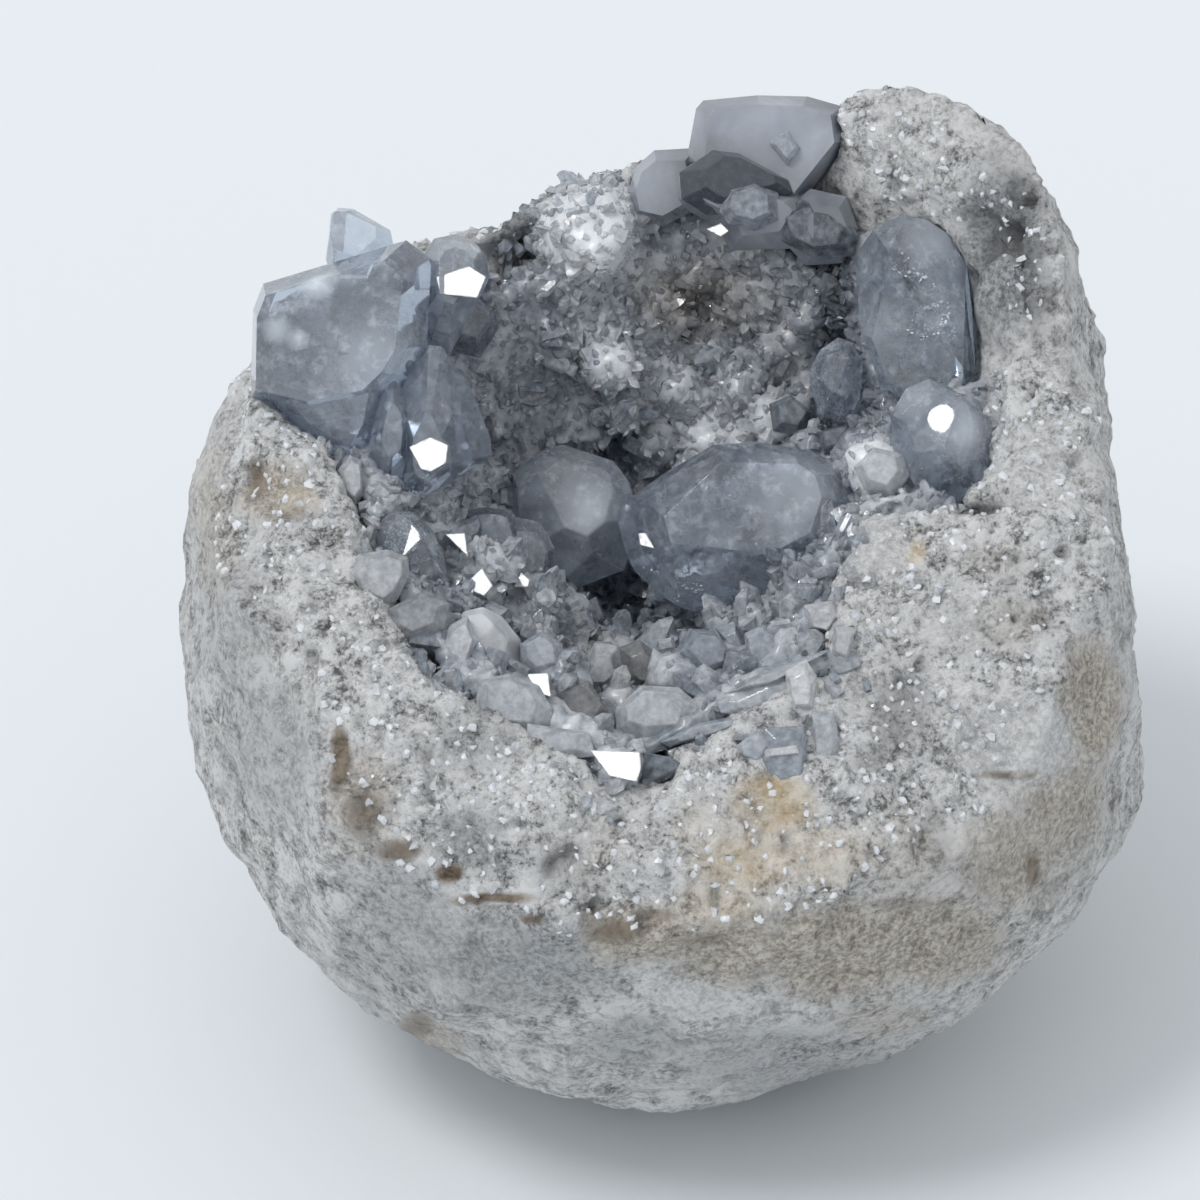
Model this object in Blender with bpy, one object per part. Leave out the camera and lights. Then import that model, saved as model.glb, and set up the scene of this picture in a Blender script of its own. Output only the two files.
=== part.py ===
"""A celestite geode: a rounded grey-white rock, broken open, with a druse and blue-grey crystals inside.

All sizes are in millimetres and become metres at the end, in MM. Two frames share the centre of the rock.
The seen frame is for whatever was placed by eye: u to the right, v up and d towards a viewer who looks down
on the geode at VIEW_ELEVATION. The mouth frame is for the hollow: a to the right, b to the back and c out of
the mouth, which leans MOUTH_LEAN towards the viewer.
"""

import math
import random

import bmesh
import bpy
from mathutils import Matrix, Vector, noise

MM = 0.001

# Driving dimensions of the rock
BODY_RADIUS = 44.0
CENTRE_HEIGHT = 42.0
VIEW_ELEVATION = math.radians(36.4)
MOUTH_LEAN = math.radians(20.0)

# Lumps and hollows of the weathered skin: bearing in the seen plane, tilt towards the viewer,
# spread of the lump in degrees, and height in millimetres
SKIN_LUMPS = (
    (5.0, 0.0, 15.0, -4.6),
    (56.0, 6.0, 21.0, 8.5),
    (316.0, 5.0, 24.0, 1.8),
    (339.0, 0.0, 8.0, 2.2),
    (180.0, 5.0, 28.0, -1.8),
    (235.0, 25.0, 10.0, 0.9),
    (262.0, 30.0, 9.0, -1.0),
    (284.0, 12.0, 10.0, -0.8),
    (215.0, 45.0, 14.0, 0.8),
    (108.0, -22.0, 34.0, -4.5),
    (142.0, -12.0, 18.0, -2.0),
    (20.0, -45.0, 26.0, 1.6),
    (150.0, -50.0, 24.0, -1.4),
    (200.0, -35.0, 18.0, 1.2),
    (60.0, -60.0, 20.0, -1.6),
)

# Roughness of each surface as layers of noise: frequency, and height in millimetres
SKIN_ROUGHNESS = ((3.1, 1.1), (7.3, 1.2), (13.0, 0.5))
BREAK_ROUGHNESS = ((0.23, 1.7), (0.61, 1.1))
CRUST_ROUGHNESS = ((0.35, 0.6),)

# Where the weathered skin ends: azimuth from the front, turning right, and angle from the mouth's axis
BREAK_EDGE = (
    (0.0, 72.0),
    (24.0, 70.0),
    (45.0, 73.0),
    (62.0, 63.0),
    (90.0, 58.0),
    (118.0, 53.0),
    (148.0, 53.0),
    (165.0, 62.0),
    (182.0, 80.0),
    (205.0, 88.0),
    (230.0, 82.0),
    (258.0, 65.0),
    (276.0, 66.0),
    (296.0, 60.0),
    (314.0, 63.0),
    (332.0, 71.0),
)

# How far the broken band between the skin and the hollow swells, and how far it steps down from the skin
BREAK_SWELL = 1.6
BREAK_STEP = 0.9

# The hollow's edge in the mouth frame: a, b and c
HOLLOW_EDGE = (
    (-3.5, -31.5, 19.0),
    (-11.0, -27.5, 21.5),
    (-19.6, -24.0, 23.5),
    (-24.5, -15.4, 24.0),
    (-27.5, -3.0, 23.0),
    (-32.5, 8.0, 21.0),
    (-29.0, 19.0, 19.0),
    (-17.0, 26.5, 18.0),
    (-8.8, 31.0, 18.0),
    (-1.7, 33.2, 18.5),
    (6.0, 34.6, 20.0),
    (13.0, 33.5, 23.0),
    (20.0, 28.0, 25.0),
    (28.0, 19.0, 25.0),
    (31.0, 6.0, 24.0),
    (28.5, -3.0, 23.0),
    (19.0, -6.0, 22.0),
    (16.5, -11.0, 22.0),
    (14.5, -18.5, 22.0),
    (8.5, -24.8, 21.5),
    (2.5, -29.0, 20.0),
)
PIT = (-2.0, 4.0, -12.0)
# Steepness of the wall by azimuth
WALL_STEEPNESS = ((0.0, 1.35), (60.0, 1.8), (120.0, 2.3), (180.0, 2.5), (240.0, 2.1), (300.0, 1.5))
# Swells of the hollow's floor: a, b, spread in a, spread in b, height
FLOOR_SWELLS = (
    (10.0, 3.0, 9.0, 6.5, 12.0),
    (-12.0, -6.0, 7.0, 6.0, 4.0),
    (22.0, 10.0, 7.0, 8.0, 5.0),
)

# How far down the wall the floor's swells have grown in
SWELL_DEPTH = 0.25

# The druse crust over the hollow's wall, and how far down it has its full thickness
CRUST_THICKNESS = 2.6
CRUST_EDGE_THICKNESS = 1.4
CRUST_EDGE_DEPTH = 0.2
# The crust grows square to the wall above FLOOR_START, and straight out of the mouth below FLOOR_END
FLOOR_START = 0.25
FLOOR_END = 0.65
LEAST_SLOPE_COSINE = 0.5
# Lumps of the crust: a, b, spread, height
CRUST_LUMPS = (
    (-6.0, 27.0, 4.5, 4.5),
    (0.0, 24.0, 5.0, 2.6),
    (6.0, 17.0, 6.0, 3.4),
    (10.0, 28.0, 4.0, 2.0),
    (19.5, 5.0, 3.5, 3.0),
    (-16.0, -13.0, 5.0, 2.0),
    (2.0, -20.0, 5.0, 2.0),
)

# Clearance between pieces that touch, and how fine the grids are
GAP = 0.35
CRUST_GAP = 0.85
SEGMENTS = 60
CRUST_SEGMENTS = 44
SKIN_RINGS = 17
BREAK_RINGS = 5
HOLLOW_RINGS = 5
CRUST_RINGS = 8
# Steps over which the slope of a surface is read: degrees of azimuth, and share of the depth
TURN_STEP = 3.0
DEPTH_STEP = 0.02

# Small crystals fused to the crust: how many, how far apart, how far from the large ones, and their sizes
DRUSE_COUNT = 70
DRUSE_TRIES = 4000
DRUSE_SPACING = 4.9
DRUSE_CLEARANCE = 2.3
DRUSE_SEED = 15
DRUSE_DEPTH = (0.13, 0.95)
DRUSE_TILT = 0.45
DRUSE_RADIUS = (1.4, 2.5)
DRUSE_HEIGHT = (1.6, 3.6)
DRUSE_ROOT = 1.4
# Their form: a rhombic prism's side bearings, the flare of its sides, two chisel faces and a worn tip
PRISM_SIDES = (48.0, 132.0, 228.0, 312.0)
PRISM_FLARE = 0.06
CHISEL_FACES = ((0.66, 0.12, 0.72), (-0.66, 0.12, 0.72))
CHISEL_RISE = 0.3
TIP_FACE = (0.1, 0.2, 1.0)
TIP_DROP = 0.1

# Colours: weathered and broken rock, the druse, and the clear grey-blue crystals
ROCK_COLOUR = (0.42, 0.41, 0.40, 1.0)
CRUST_COLOUR = (0.19, 0.22, 0.28, 1.0)
CRYSTAL_COLOUR = (0.27, 0.31, 0.39, 1.0)
WHITE_CRYSTAL_COLOUR = (0.55, 0.57, 0.60, 1.0)
ROCK_ROUGHNESS = 0.85
DRUSE_GLOSS_ROUGHNESS = 0.25
CRYSTAL_GLOSS_ROUGHNESS = 0.08
CRYSTAL_CLEARNESS = 0.8
CELESTITE_IOR = 1.62

# Blank that a crystal is cut from, how much it narrows into its root, and the least edge kept
CRYSTAL_BLANK = 60.0
BACK_TAPER = 0.8
WELD = 0.01

# Large crystals by piece. The outline is a crystal's widest section in the seen frame, at depth d.
# In front of it the crystal narrows to an end face, taper times as wide, whose middle is shifted, and
# which leans by (u, v). Behind it the crystal narrows a little into what it grows from.
CRYSTALS = {
    "left_crystal_group": (
        dict(
            outline=((-35.8, 18.2), (-35.6, 25.8), (-34.7, 28.1), (-22.2, 31.9), (-20.0, 30.3),
                     (-20.4, 22.6), (-21.9, 20.0), (-24.0, 18.0), (-30.2, 16.8)),
            depth=12.0, front=6.0, back=7.5, taper=0.80, shift=(-1.0, -0.6), lean=(-0.08, 0.12),
        ),
        dict(
            outline=((-35.6, 21.0), (-35.4, 18.4), (-33.5, 16.6), (-31.4, 14.4), (-26.8, 12.4),
                     (-25.1, 14.2), (-22.6, 20.5), (-29.6, 22.5)),
            depth=12.5, front=4.6, back=7.0, taper=0.72, shift=(0.2, 1.4), lean=(0.05, -0.45),
        ),
        dict(
            outline=((-25.6, 13.0), (-24.6, 18.2), (-23.4, 20.0), (-22.0, 18.2), (-21.6, 14.5),
                     (-22.0, 10.9), (-23.6, 9.7), (-24.6, 10.2)),
            depth=13.5, front=4.6, back=6.0, taper=0.45, shift=(0.3, 0.6), lean=(-0.3, 0.0),
        ),
        dict(
            outline=((-22.8, 18.7), (-21.2, 21.2), (-20.2, 22.7), (-19.1, 22.6), (-16.7, 19.3),
                     (-14.8, 14.6), (-14.7, 13.1), (-17.7, 11.1), (-20.6, 9.3), (-21.8, 9.7),
                     (-22.9, 11.4)),
            depth=13.0, front=6.4, back=8.0, taper=0.36, shift=(-0.7, -2.7), lean=(-0.10, 0.25),
        ),
        dict(
            outline=((-20.9, 30.6), (-19.9, 32.3), (-18.0, 32.7), (-16.5, 32.2), (-15.3, 30.9),
                     (-15.0, 28.8), (-16.7, 25.4), (-18.6, 21.9), (-20.4, 22.5), (-21.2, 25.1)),
            depth=7.0, front=5.0, back=8.0, taper=0.50, shift=(0.3, 0.6), lean=(0.15, 0.30),
        ),
        dict(
            outline=((-29.0, 34.5), (-28.3, 35.0), (-27.0, 34.9), (-23.7, 33.0), (-23.4, 31.5),
                     (-25.0, 27.5), (-28.8, 27.5), (-29.4, 30.5)),
            depth=7.5, front=2.4, back=4.5, taper=0.55, shift=(-0.8, 1.0), lean=(0.35, 0.2),
        ),
        dict(
            outline=((-17.0, 28.0), (-14.7, 26.2), (-14.2, 24.6), (-15.9, 21.9), (-18.8, 22.5),
                     (-18.8, 26.0)),
            depth=3.0, front=3.0, back=6.0, taper=0.5, shift=(0.0, 0.3), lean=(0.2, 0.0),
        ),
    ),
    "front_crystal": (
        dict(
            outline=((-4.4, 7.3), (-3.8, 8.6), (0.5, 11.6), (4.6, 14.0), (8.4, 14.3), (13.2, 13.5),
                     (16.4, 11.4), (17.4, 8.6), (16.4, 3.9), (12.2, 1.2), (7.0, -1.3), (2.4, -0.9),
                     (-0.4, 0.6), (-2.6, 2.6), (-3.6, 4.7)),
            depth=11.5, front=5.2, back=7.2, taper=0.62, shift=(0.3, 1.7), lean=(-0.12, 0.14),
        ),
    ),
    "middle_crystal": (
        dict(
            outline=((-13.1, 9.6), (-13.1, 11.9), (-10.2, 14.0), (-8.6, 14.4), (-4.0, 12.9),
                     (-2.6, 11.0), (-1.6, 7.6), (-3.0, 3.1), (-7.5, 1.4), (-11.2, 3.6), (-12.8, 6.9)),
            depth=-2.5, front=5.5, back=8.5, taper=0.52, shift=(-1.6, -0.8), lean=(-0.2, -0.05),
        ),
    ),
    "blade_crystal": (
        dict(
            outline=((17.0, 29.0), (17.3, 31.6), (19.2, 33.4), (21.4, 34.3), (23.6, 34.1),
                     (25.4, 33.0), (27.2, 29.8), (28.0, 26.0), (28.4, 18.4), (26.8, 17.6),
                     (22.0, 17.8), (19.4, 19.2), (17.7, 24.0)),
            depth=8.6, front=4.0, back=6.0, taper=0.66, shift=(0.2, -1.6), lean=(-0.25, -0.05),
            cuts=(((0.45, 0.62, 0.64), (22.5, 30.5, 11.7)),),
        ),
    ),
    "block_crystal": (
        dict(
            outline=((20.0, 16.6), (21.3, 18.8), (23.3, 19.7), (25.3, 18.9), (28.7, 16.2),
                     (29.4, 14.4), (28.8, 9.3), (25.3, 8.7), (22.2, 10.2), (20.2, 13.5)),
            depth=15.6, front=4.0, back=3.4, taper=0.55, shift=(0.8, -0.8), lean=(0.1, -0.2),
            cuts=(((0.7, 0.35, 0.62), (26.6, 16.0, 17.8)),),
        ),
    ),
    "round_crystal": (
        dict(
            outline=((13.2, 19.2), (13.4, 21.0), (14.2, 22.6), (15.8, 23.7), (17.2, 23.2),
                     (18.0, 21.2), (17.8, 18.2), (16.6, 16.0), (14.4, 16.6)),
            depth=5.0, front=3.4, back=6.5, taper=0.50, shift=(0.2, 0.3), lean=(-0.2, 0.2),
        ),
    ),
    "back_crystal_group": (
        dict(
            outline=((2.4, 39.4), (3.3, 44.2), (4.4, 45.5), (8.7, 45.4), (11.8, 45.7), (16.4, 44.4),
                     (17.0, 41.4), (12.5, 35.5), (6.2, 35.3)),
            depth=0.5, front=3.4, back=5.4, taper=0.80, shift=(0.2, -0.5), lean=(-0.05, 0.15),
        ),
        dict(
            outline=((-2.8, 36.9), (-2.0, 39.2), (-0.4, 40.6), (3.2, 40.8), (4.6, 36.0), (0.4, 33.8),
                     (-2.4, 34.6)),
            depth=-1.0, front=2.6, back=4.5, taper=0.72, shift=(0.0, -0.3), lean=(-0.15, 0.1),
        ),
        dict(
            outline=((1.7, 38.1), (5.3, 40.3), (6.2, 40.3), (12.8, 36.8), (12.2, 34.6), (8.9, 33.4),
                     (5.0, 33.6), (2.6, 35.0), (1.7, 36.0)),
            depth=2.6, front=3.0, back=6.5, taper=0.42, shift=(-0.6, -0.4), lean=(0.1, 0.5),
        ),
        dict(
            outline=((4.7, 34.2), (5.4, 36.2), (8.5, 37.4), (12.4, 36.4), (14.2, 34.7), (11.6, 31.6),
                     (6.3, 31.4)),
            depth=3.4, front=2.6, back=6.0, taper=0.55, shift=(0.1, 0.2), lean=(-0.1, -0.2),
        ),
        dict(
            outline=((11.0, 35.2), (13.4, 36.9), (16.6, 36.2), (17.6, 33.4), (16.2, 30.3),
                     (13.0, 30.1), (11.0, 32.2)),
            depth=3.6, front=2.4, back=6.0, taper=0.5, shift=(0.3, 0.0), lean=(0.3, 0.0),
        ),
    ),
    "egg_crystal": (
        dict(
            outline=((-24.6, 5.8), (-24.1, 7.5), (-22.8, 8.3), (-21.2, 8.0), (-19.6, 6.4),
                     (-18.6, 3.9), (-18.3, 1.6), (-19.4, -0.2), (-22.0, 0.8), (-24.0, 3.4)),
            depth=20.0, front=3.0, back=5.5, taper=0.48, shift=(-0.2, 0.8), lean=(-0.2, 0.3),
        ),
    ),
    "upright_crystal_pair": (
        dict(
            outline=((-17.5, 8.2), (-15.5, 8.6), (-13.0, 8.3), (-12.2, 5.7), (-12.0, 2.2),
                     (-13.2, -0.2), (-16.2, 0.4), (-16.9, 3.9)),
            depth=9.5, front=3.0, back=5.2, taper=0.68, shift=(0.1, 0.6), lean=(-0.15, 0.1),
        ),
        dict(
            outline=((-13.4, 7.9), (-10.5, 7.3), (-9.2, 5.0), (-9.6, 2.2), (-11.3, 0.4), (-13.9, 1.2)),
            depth=8.4, front=2.8, back=4.0, taper=0.6, shift=(0.0, 0.2), lean=(0.25, 0.1),
        ),
    ),
    "broken_white_crystal": (
        dict(
            outline=((-18.6, -4.0), (-18.0, -1.9), (-17.0, -0.5), (-15.3, -0.1), (-13.7, -0.9),
                     (-12.0, -3.0), (-12.2, -5.4), (-14.1, -7.0), (-17.0, -6.8)),
            depth=22.5, front=3.6, back=5.0, taper=0.5, shift=(-0.3, 0.3), lean=(0.15, 0.3),
        ),
    ),
}

# Crystals that are part of the crust, in the same form
CRUST_CRYSTALS = (
    dict(
        outline=((-5.8, -12.3), (-1.6, -12.2), (-0.7, -14.1), (-2.4, -15.6), (-5.0, -15.2)),
        depth=31.5, front=1.6, back=3.5, taper=0.8, shift=(0.0, 0.2), lean=(0.0, 0.2),
    ),
    dict(
        outline=((16.4, 11.6), (17.0, 13.6), (18.6, 14.5), (20.4, 13.9), (21.6, 12.2), (21.4, 10.0),
                 (19.6, 8.9), (17.3, 9.4)),
        depth=12.0, front=2.6, back=4.0, taper=0.45, shift=(0.0, 0.2), lean=(-0.1, 0.2),
    ),
    dict(
        outline=((-10.6, 32.3), (-9.9, 34.8), (-7.5, 36.4), (-4.8, 36.6), (-2.0, 35.7), (-1.5, 33.7),
                 (-3.7, 30.2), (-6.2, 28.6), (-8.9, 29.6)),
        depth=-2.0, front=3.2, back=4.5, taper=0.55, shift=(0.2, 0.3), lean=(-0.1, 0.2),
    ),
    dict(
        outline=((3.3, -8.2), (4.6, -6.7), (12.1, -3.8), (14.6, -4.2), (14.4, -5.9), (7.0, -9.7),
                 (4.4, -9.7)),
        depth=28.0, front=1.8, back=3.5, taper=0.6, shift=(0.0, 0.2), lean=(-0.1, 0.2),
    ),
)


def seen_to_body(u, v, d):
    sine, cosine = math.sin(VIEW_ELEVATION), math.cos(VIEW_ELEVATION)
    return Vector((u, v * sine - d * cosine, v * cosine + d * sine))


def body_to_seen(point):
    sine, cosine = math.sin(VIEW_ELEVATION), math.cos(VIEW_ELEVATION)
    return Vector((point.x, point.y * sine + point.z * cosine, point.z * sine - point.y * cosine))


def mouth_to_body(a, b, c):
    sine, cosine = math.sin(MOUTH_LEAN), math.cos(MOUTH_LEAN)
    return Vector((a, b * cosine - c * sine, b * sine + c * cosine))


def seen_direction(bearing, toward):
    bearing, toward = math.radians(bearing), math.radians(toward)
    flat = math.cos(toward)
    return Vector((flat * math.cos(bearing), flat * math.sin(bearing), math.sin(toward)))


def periodic(table, angle):
    """A smooth reading of a table of (degrees, value) that closes on itself after 360 degrees."""
    angle %= 360.0
    for index, (start, value) in enumerate(table):
        end, following = table[(index + 1) % len(table)]
        span = (end - start) % 360.0
        along = (angle - start) % 360.0
        if along <= span:
            share = along / span
            share = share * share * (3.0 - 2.0 * share)
            return value + (following - value) * share
    return table[0][1]


def rough(point, layers):
    return sum(height * noise.noise(point * frequency) for frequency, height in layers)


def skin_radius(direction):
    """Distance from the rock's centre to its skin, in a unit direction of the body frame."""
    seen = body_to_seen(direction)
    radius = BODY_RADIUS
    for bearing, toward, spread, height in SKIN_LUMPS:
        apart = math.degrees(seen.angle(seen_direction(bearing, toward)))
        radius += height * math.exp(-((apart / spread) ** 2))
    return radius + rough(direction, SKIN_ROUGHNESS)


def skin_point(azimuth, polar):
    azimuth, polar = math.radians(azimuth), math.radians(polar)
    across = math.sin(polar)
    direction = mouth_to_body(across * math.sin(azimuth), -across * math.cos(azimuth), math.cos(polar))
    return direction * skin_radius(direction)


def edge_point(azimuth):
    """Point of the hollow's edge at an azimuth about the pit."""
    polar = []
    for a, b, c in HOLLOW_EDGE:
        bearing = math.degrees(math.atan2(a - PIT[0], PIT[1] - b)) % 360.0
        polar.append((bearing, math.hypot(a - PIT[0], b - PIT[1]), c))
    polar.sort()
    reach = periodic([(bearing, distance) for bearing, distance, _ in polar], azimuth)
    height = periodic([(bearing, c) for bearing, _, c in polar], azimuth)
    azimuth = math.radians(azimuth)
    return PIT[0] + reach * math.sin(azimuth), PIT[1] - reach * math.cos(azimuth), height


def wall_point(azimuth, depth):
    """Point of the rock's hollow wall in the body frame: depth 0 is its edge and 1 the pit."""
    a, b, c = edge_point(azimuth)
    steepness = periodic(WALL_STEEPNESS, azimuth)
    height = PIT[2] + (c - PIT[2]) * (1.0 - depth) ** steepness
    a += (PIT[0] - a) * depth
    b += (PIT[1] - b) * depth
    for centre_a, centre_b, spread_a, spread_b, swell in FLOOR_SWELLS:
        away = ((a - centre_a) / spread_a) ** 2 + ((b - centre_b) / spread_b) ** 2
        height += swell * math.exp(-away) * min(1.0, depth / SWELL_DEPTH)
    return mouth_to_body(a, b, height)


def wall_normal(azimuth, depth):
    """Unit normal of the hollow wall, pointing into the hollow."""
    depth = min(max(depth, DEPTH_STEP), 1.0 - 3.0 * DEPTH_STEP)
    down = wall_point(azimuth, depth + DEPTH_STEP) - wall_point(azimuth, depth - DEPTH_STEP)
    around = wall_point(azimuth + TURN_STEP, depth) - wall_point(azimuth - TURN_STEP, depth)
    return around.cross(down).normalized()


def crust_thickness(azimuth, depth):
    a, b, _ = edge_point(azimuth)
    a += (PIT[0] - a) * depth
    b += (PIT[1] - b) * depth
    share = min(1.0, depth / CRUST_EDGE_DEPTH)
    thickness = CRUST_EDGE_THICKNESS + (CRUST_THICKNESS - CRUST_EDGE_THICKNESS) * share
    for centre_a, centre_b, spread, lump in CRUST_LUMPS:
        away = math.hypot(a - centre_a, b - centre_b) / spread
        thickness += lump * math.exp(-away * away)
    return thickness + share * rough(Vector((a, b, CRUST_THICKNESS)), CRUST_ROUGHNESS)


def lifted_point(azimuth, depth, height):
    """Point over the wall: square to it at the edge, and out of the mouth in the tight floor, which keeps it
    from folding."""
    normal = wall_normal(azimuth, depth)
    share = min(1.0, max(0.0, (depth - FLOOR_START) / (FLOOR_END - FLOOR_START)))
    way = normal.lerp(mouth_to_body(0.0, 0.0, 1.0), share).normalized()
    return wall_point(azimuth, depth) + way * height / max(LEAST_SLOPE_COSINE, normal.dot(way))


def crust_point(azimuth, depth):
    return lifted_point(azimuth, depth, CRUST_GAP + crust_thickness(azimuth, depth))


def azimuths(count=SEGMENTS):
    return [360.0 * index / count for index in range(count)]


def skin_rings():
    rings = []
    for ring in range(1, SKIN_RINGS + 1):
        share = ring / SKIN_RINGS
        points = []
        for azimuth in azimuths():
            polar = 180.0 + (periodic(BREAK_EDGE, azimuth) - 180.0) * share
            points.append(skin_point(azimuth, polar))
        rings.append(points)
    return rings


def break_ends(azimuth):
    """Where the broken band meets the skin and the hollow."""
    return skin_point(azimuth, periodic(BREAK_EDGE, azimuth)), mouth_to_body(*edge_point(azimuth))


def break_point(azimuth, share):
    """Point of the rough broken band between the skin, at share 0, and the hollow, at share 1."""
    outer, inner = break_ends(azimuth)
    point = outer.lerp(inner, share)
    before, after = break_ends(azimuth - TURN_STEP), break_ends(azimuth + TURN_STEP)
    around = after[0].lerp(after[1], share) - before[0].lerp(before[1], share)
    normal = around.cross(inner - outer).normalized()
    if normal.dot(mouth_to_body(0.0, 0.0, 1.0)) < 0.0:
        normal.negate()
    swell = BREAK_SWELL * math.sin(math.pi * share) - BREAK_STEP * (1.0 - share)
    return point + normal * (swell + rough(point, BREAK_ROUGHNESS))


def break_rings():
    shares = [ring / (BREAK_RINGS + 1) for ring in range(1, BREAK_RINGS + 1)]
    return [[break_point(azimuth, share) for azimuth in azimuths()] for share in shares]


def wall_rings():
    depths = [ring / HOLLOW_RINGS for ring in range(HOLLOW_RINGS)]
    return [[wall_point(azimuth, depth) for azimuth in azimuths()] for depth in depths]


def solid_from_rings(name, first_pole, rings, last_pole):
    """Closed mesh through rings of equal count, each end closed at a pole."""
    mesh = bmesh.new()
    rows = [[mesh.verts.new(point) for point in ring] for ring in rings]
    ends = (mesh.verts.new(first_pole), mesh.verts.new(last_pole))
    for index in range(len(rings[0])):
        following = (index + 1) % len(rings[0])
        mesh.faces.new((ends[0], rows[0][following], rows[0][index]))
        mesh.faces.new((ends[1], rows[-1][index], rows[-1][following]))
        for lower, upper in zip(rows, rows[1:]):
            mesh.faces.new((lower[index], lower[following], upper[following], upper[index]))
    bmesh.ops.triangulate(mesh, faces=mesh.faces[:])
    bmesh.ops.recalc_face_normals(mesh, faces=mesh.faces[:])
    return finished(name, mesh)


def finished(name, mesh):
    """Object of a bmesh given in millimetres about the rock's centre."""
    bmesh.ops.translate(mesh, vec=(0.0, 0.0, CENTRE_HEIGHT), verts=mesh.verts[:])
    bmesh.ops.scale(mesh, vec=(MM, MM, MM), verts=mesh.verts[:])
    data = bpy.data.meshes.new(name)
    mesh.to_mesh(data)
    mesh.free()
    piece = bpy.data.objects.new(name, data)
    bpy.context.scene.collection.objects.link(piece)
    return piece


def rock_shell():
    rings = skin_rings() + break_rings() + wall_rings()
    return solid_from_rings("rock_shell", skin_point(0.0, 180.0), rings, wall_point(0.0, 1.0))


def crust_slab():
    turns = azimuths(CRUST_SEGMENTS)
    first = 0.5 / CRUST_RINGS
    back_depths = [max(first, ring / HOLLOW_RINGS) for ring in range(HOLLOW_RINGS)]
    front_depths = [first + (1.0 - first) * ring / CRUST_RINGS for ring in range(CRUST_RINGS)]
    back = []
    for depth in reversed(back_depths):
        back.append([lifted_point(turn, depth, CRUST_GAP) for turn in turns])
    front = [[crust_point(turn, depth) for turn in turns] for depth in front_depths]
    first_pole = lifted_point(0.0, 1.0, CRUST_GAP)
    return solid_from_rings("crystal_crust", first_pole, back + front, crust_point(0.0, 1.0))


def flat_seat(piece):
    """Cuts the rock flat where it rests."""
    mesh = bmesh.new()
    mesh.from_mesh(piece.data)
    everything = mesh.verts[:] + mesh.edges[:] + mesh.faces[:]
    cut = bmesh.ops.bisect_plane(
        mesh, geom=everything, plane_co=(0, 0, 0), plane_no=(0, 0, -1), clear_outer=True)
    rim = [item for item in cut["geom_cut"] if isinstance(item, bmesh.types.BMEdge)]
    bmesh.ops.contextual_create(mesh, geom=rim)
    mesh.to_mesh(piece.data)
    mesh.free()


def outline_planes(outline, section, end_depth, taper, shift):
    """Planes of the faces that join an outline to its tapered copy at another depth: normal and point."""
    middle = sum((Vector(point) for point in outline), Vector((0.0, 0.0))) / len(outline)
    planes = []
    for index, start in enumerate(outline):
        first = Vector((*start, section))
        second = Vector((*outline[(index + 1) % len(outline)], section))
        far = middle + Vector(shift) + (first.to_2d() - middle) * taper
        normal = (second - first).cross(Vector((*far, end_depth)) - first).normalized()
        if normal.dot(Vector((*middle, section)) - first) > 0.0:
            normal.negate()
        planes.append((normal, first))
    return middle, planes


def crystal_planes(outline, depth, front, back, taper, shift, lean, cuts=()):
    """All the faces of one crystal in the seen frame, as pairs of outward normal and point."""
    middle, planes = outline_planes(outline, depth, depth + front, taper, shift)
    planes += outline_planes(outline, depth, depth - back, BACK_TAPER, (0.0, 0.0))[1]
    planes.append((Vector((*lean, 1.0)).normalized(), Vector((*(middle + Vector(shift)), depth + front))))
    planes.append((Vector((0.0, 0.0, -1.0)), Vector((*middle, depth - back))))
    planes += [(Vector(normal).normalized(), Vector(point)) for normal, point in cuts]
    return middle.to_3d() + Vector((0.0, 0.0, depth)), planes


def convex_solid(middle, planes, grow=0.0):
    """Bmesh of the space behind all the planes, each moved outwards by grow."""
    mesh = bmesh.new()
    bmesh.ops.create_cube(mesh, size=CRYSTAL_BLANK, matrix=Matrix.Translation(middle))
    for normal, point in planes:
        everything = mesh.verts[:] + mesh.edges[:] + mesh.faces[:]
        cut = bmesh.ops.bisect_plane(
            mesh, geom=everything, plane_co=point + normal * grow, plane_no=normal, clear_outer=True)
        rim = [item for item in cut["geom_cut"] if isinstance(item, bmesh.types.BMEdge)]
        bmesh.ops.edgeloop_fill(mesh, edges=rim)
    bmesh.ops.remove_doubles(mesh, verts=mesh.verts[:], dist=WELD)
    bmesh.ops.dissolve_degenerate(mesh, edges=mesh.edges[:], dist=WELD)
    bmesh.ops.recalc_face_normals(mesh, faces=mesh.faces[:])
    return mesh


def crystal(name, shape, grow=0.0):
    middle, planes = crystal_planes(**shape)
    mesh = convex_solid(middle, planes, grow)
    for vertex in mesh.verts:
        vertex.co = seen_to_body(*vertex.co)
    return finished(name, mesh)


def finish(piece, colour, roughness, clear=0.0):
    """Gives a piece a material of its own."""
    material = bpy.data.materials.new(piece.name)
    material.use_nodes = True
    shader = material.node_tree.nodes["Principled BSDF"]
    shader.inputs["Base Color"].default_value = colour
    shader.inputs["Roughness"].default_value = roughness
    shader.inputs["Metallic"].default_value = 0.0
    shader.inputs["IOR"].default_value = CELESTITE_IOR
    shader.inputs["Transmission Weight"].default_value = clear
    piece.data.materials.clear()
    piece.data.materials.append(material)


def helper(piece, group):
    """Keeps a shape that only cuts or joins out of the finished part."""
    piece.hide_render = True
    piece.display_type = "WIRE"
    bpy.context.scene.collection.objects.unlink(piece)
    group.objects.link(piece)


def combine(piece, operation, group):
    modifier = piece.modifiers.new(operation.title(), "BOOLEAN")
    modifier.operation = operation
    modifier.operand_type = "COLLECTION"
    modifier.collection = group
    modifier.solver = "EXACT"


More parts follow.
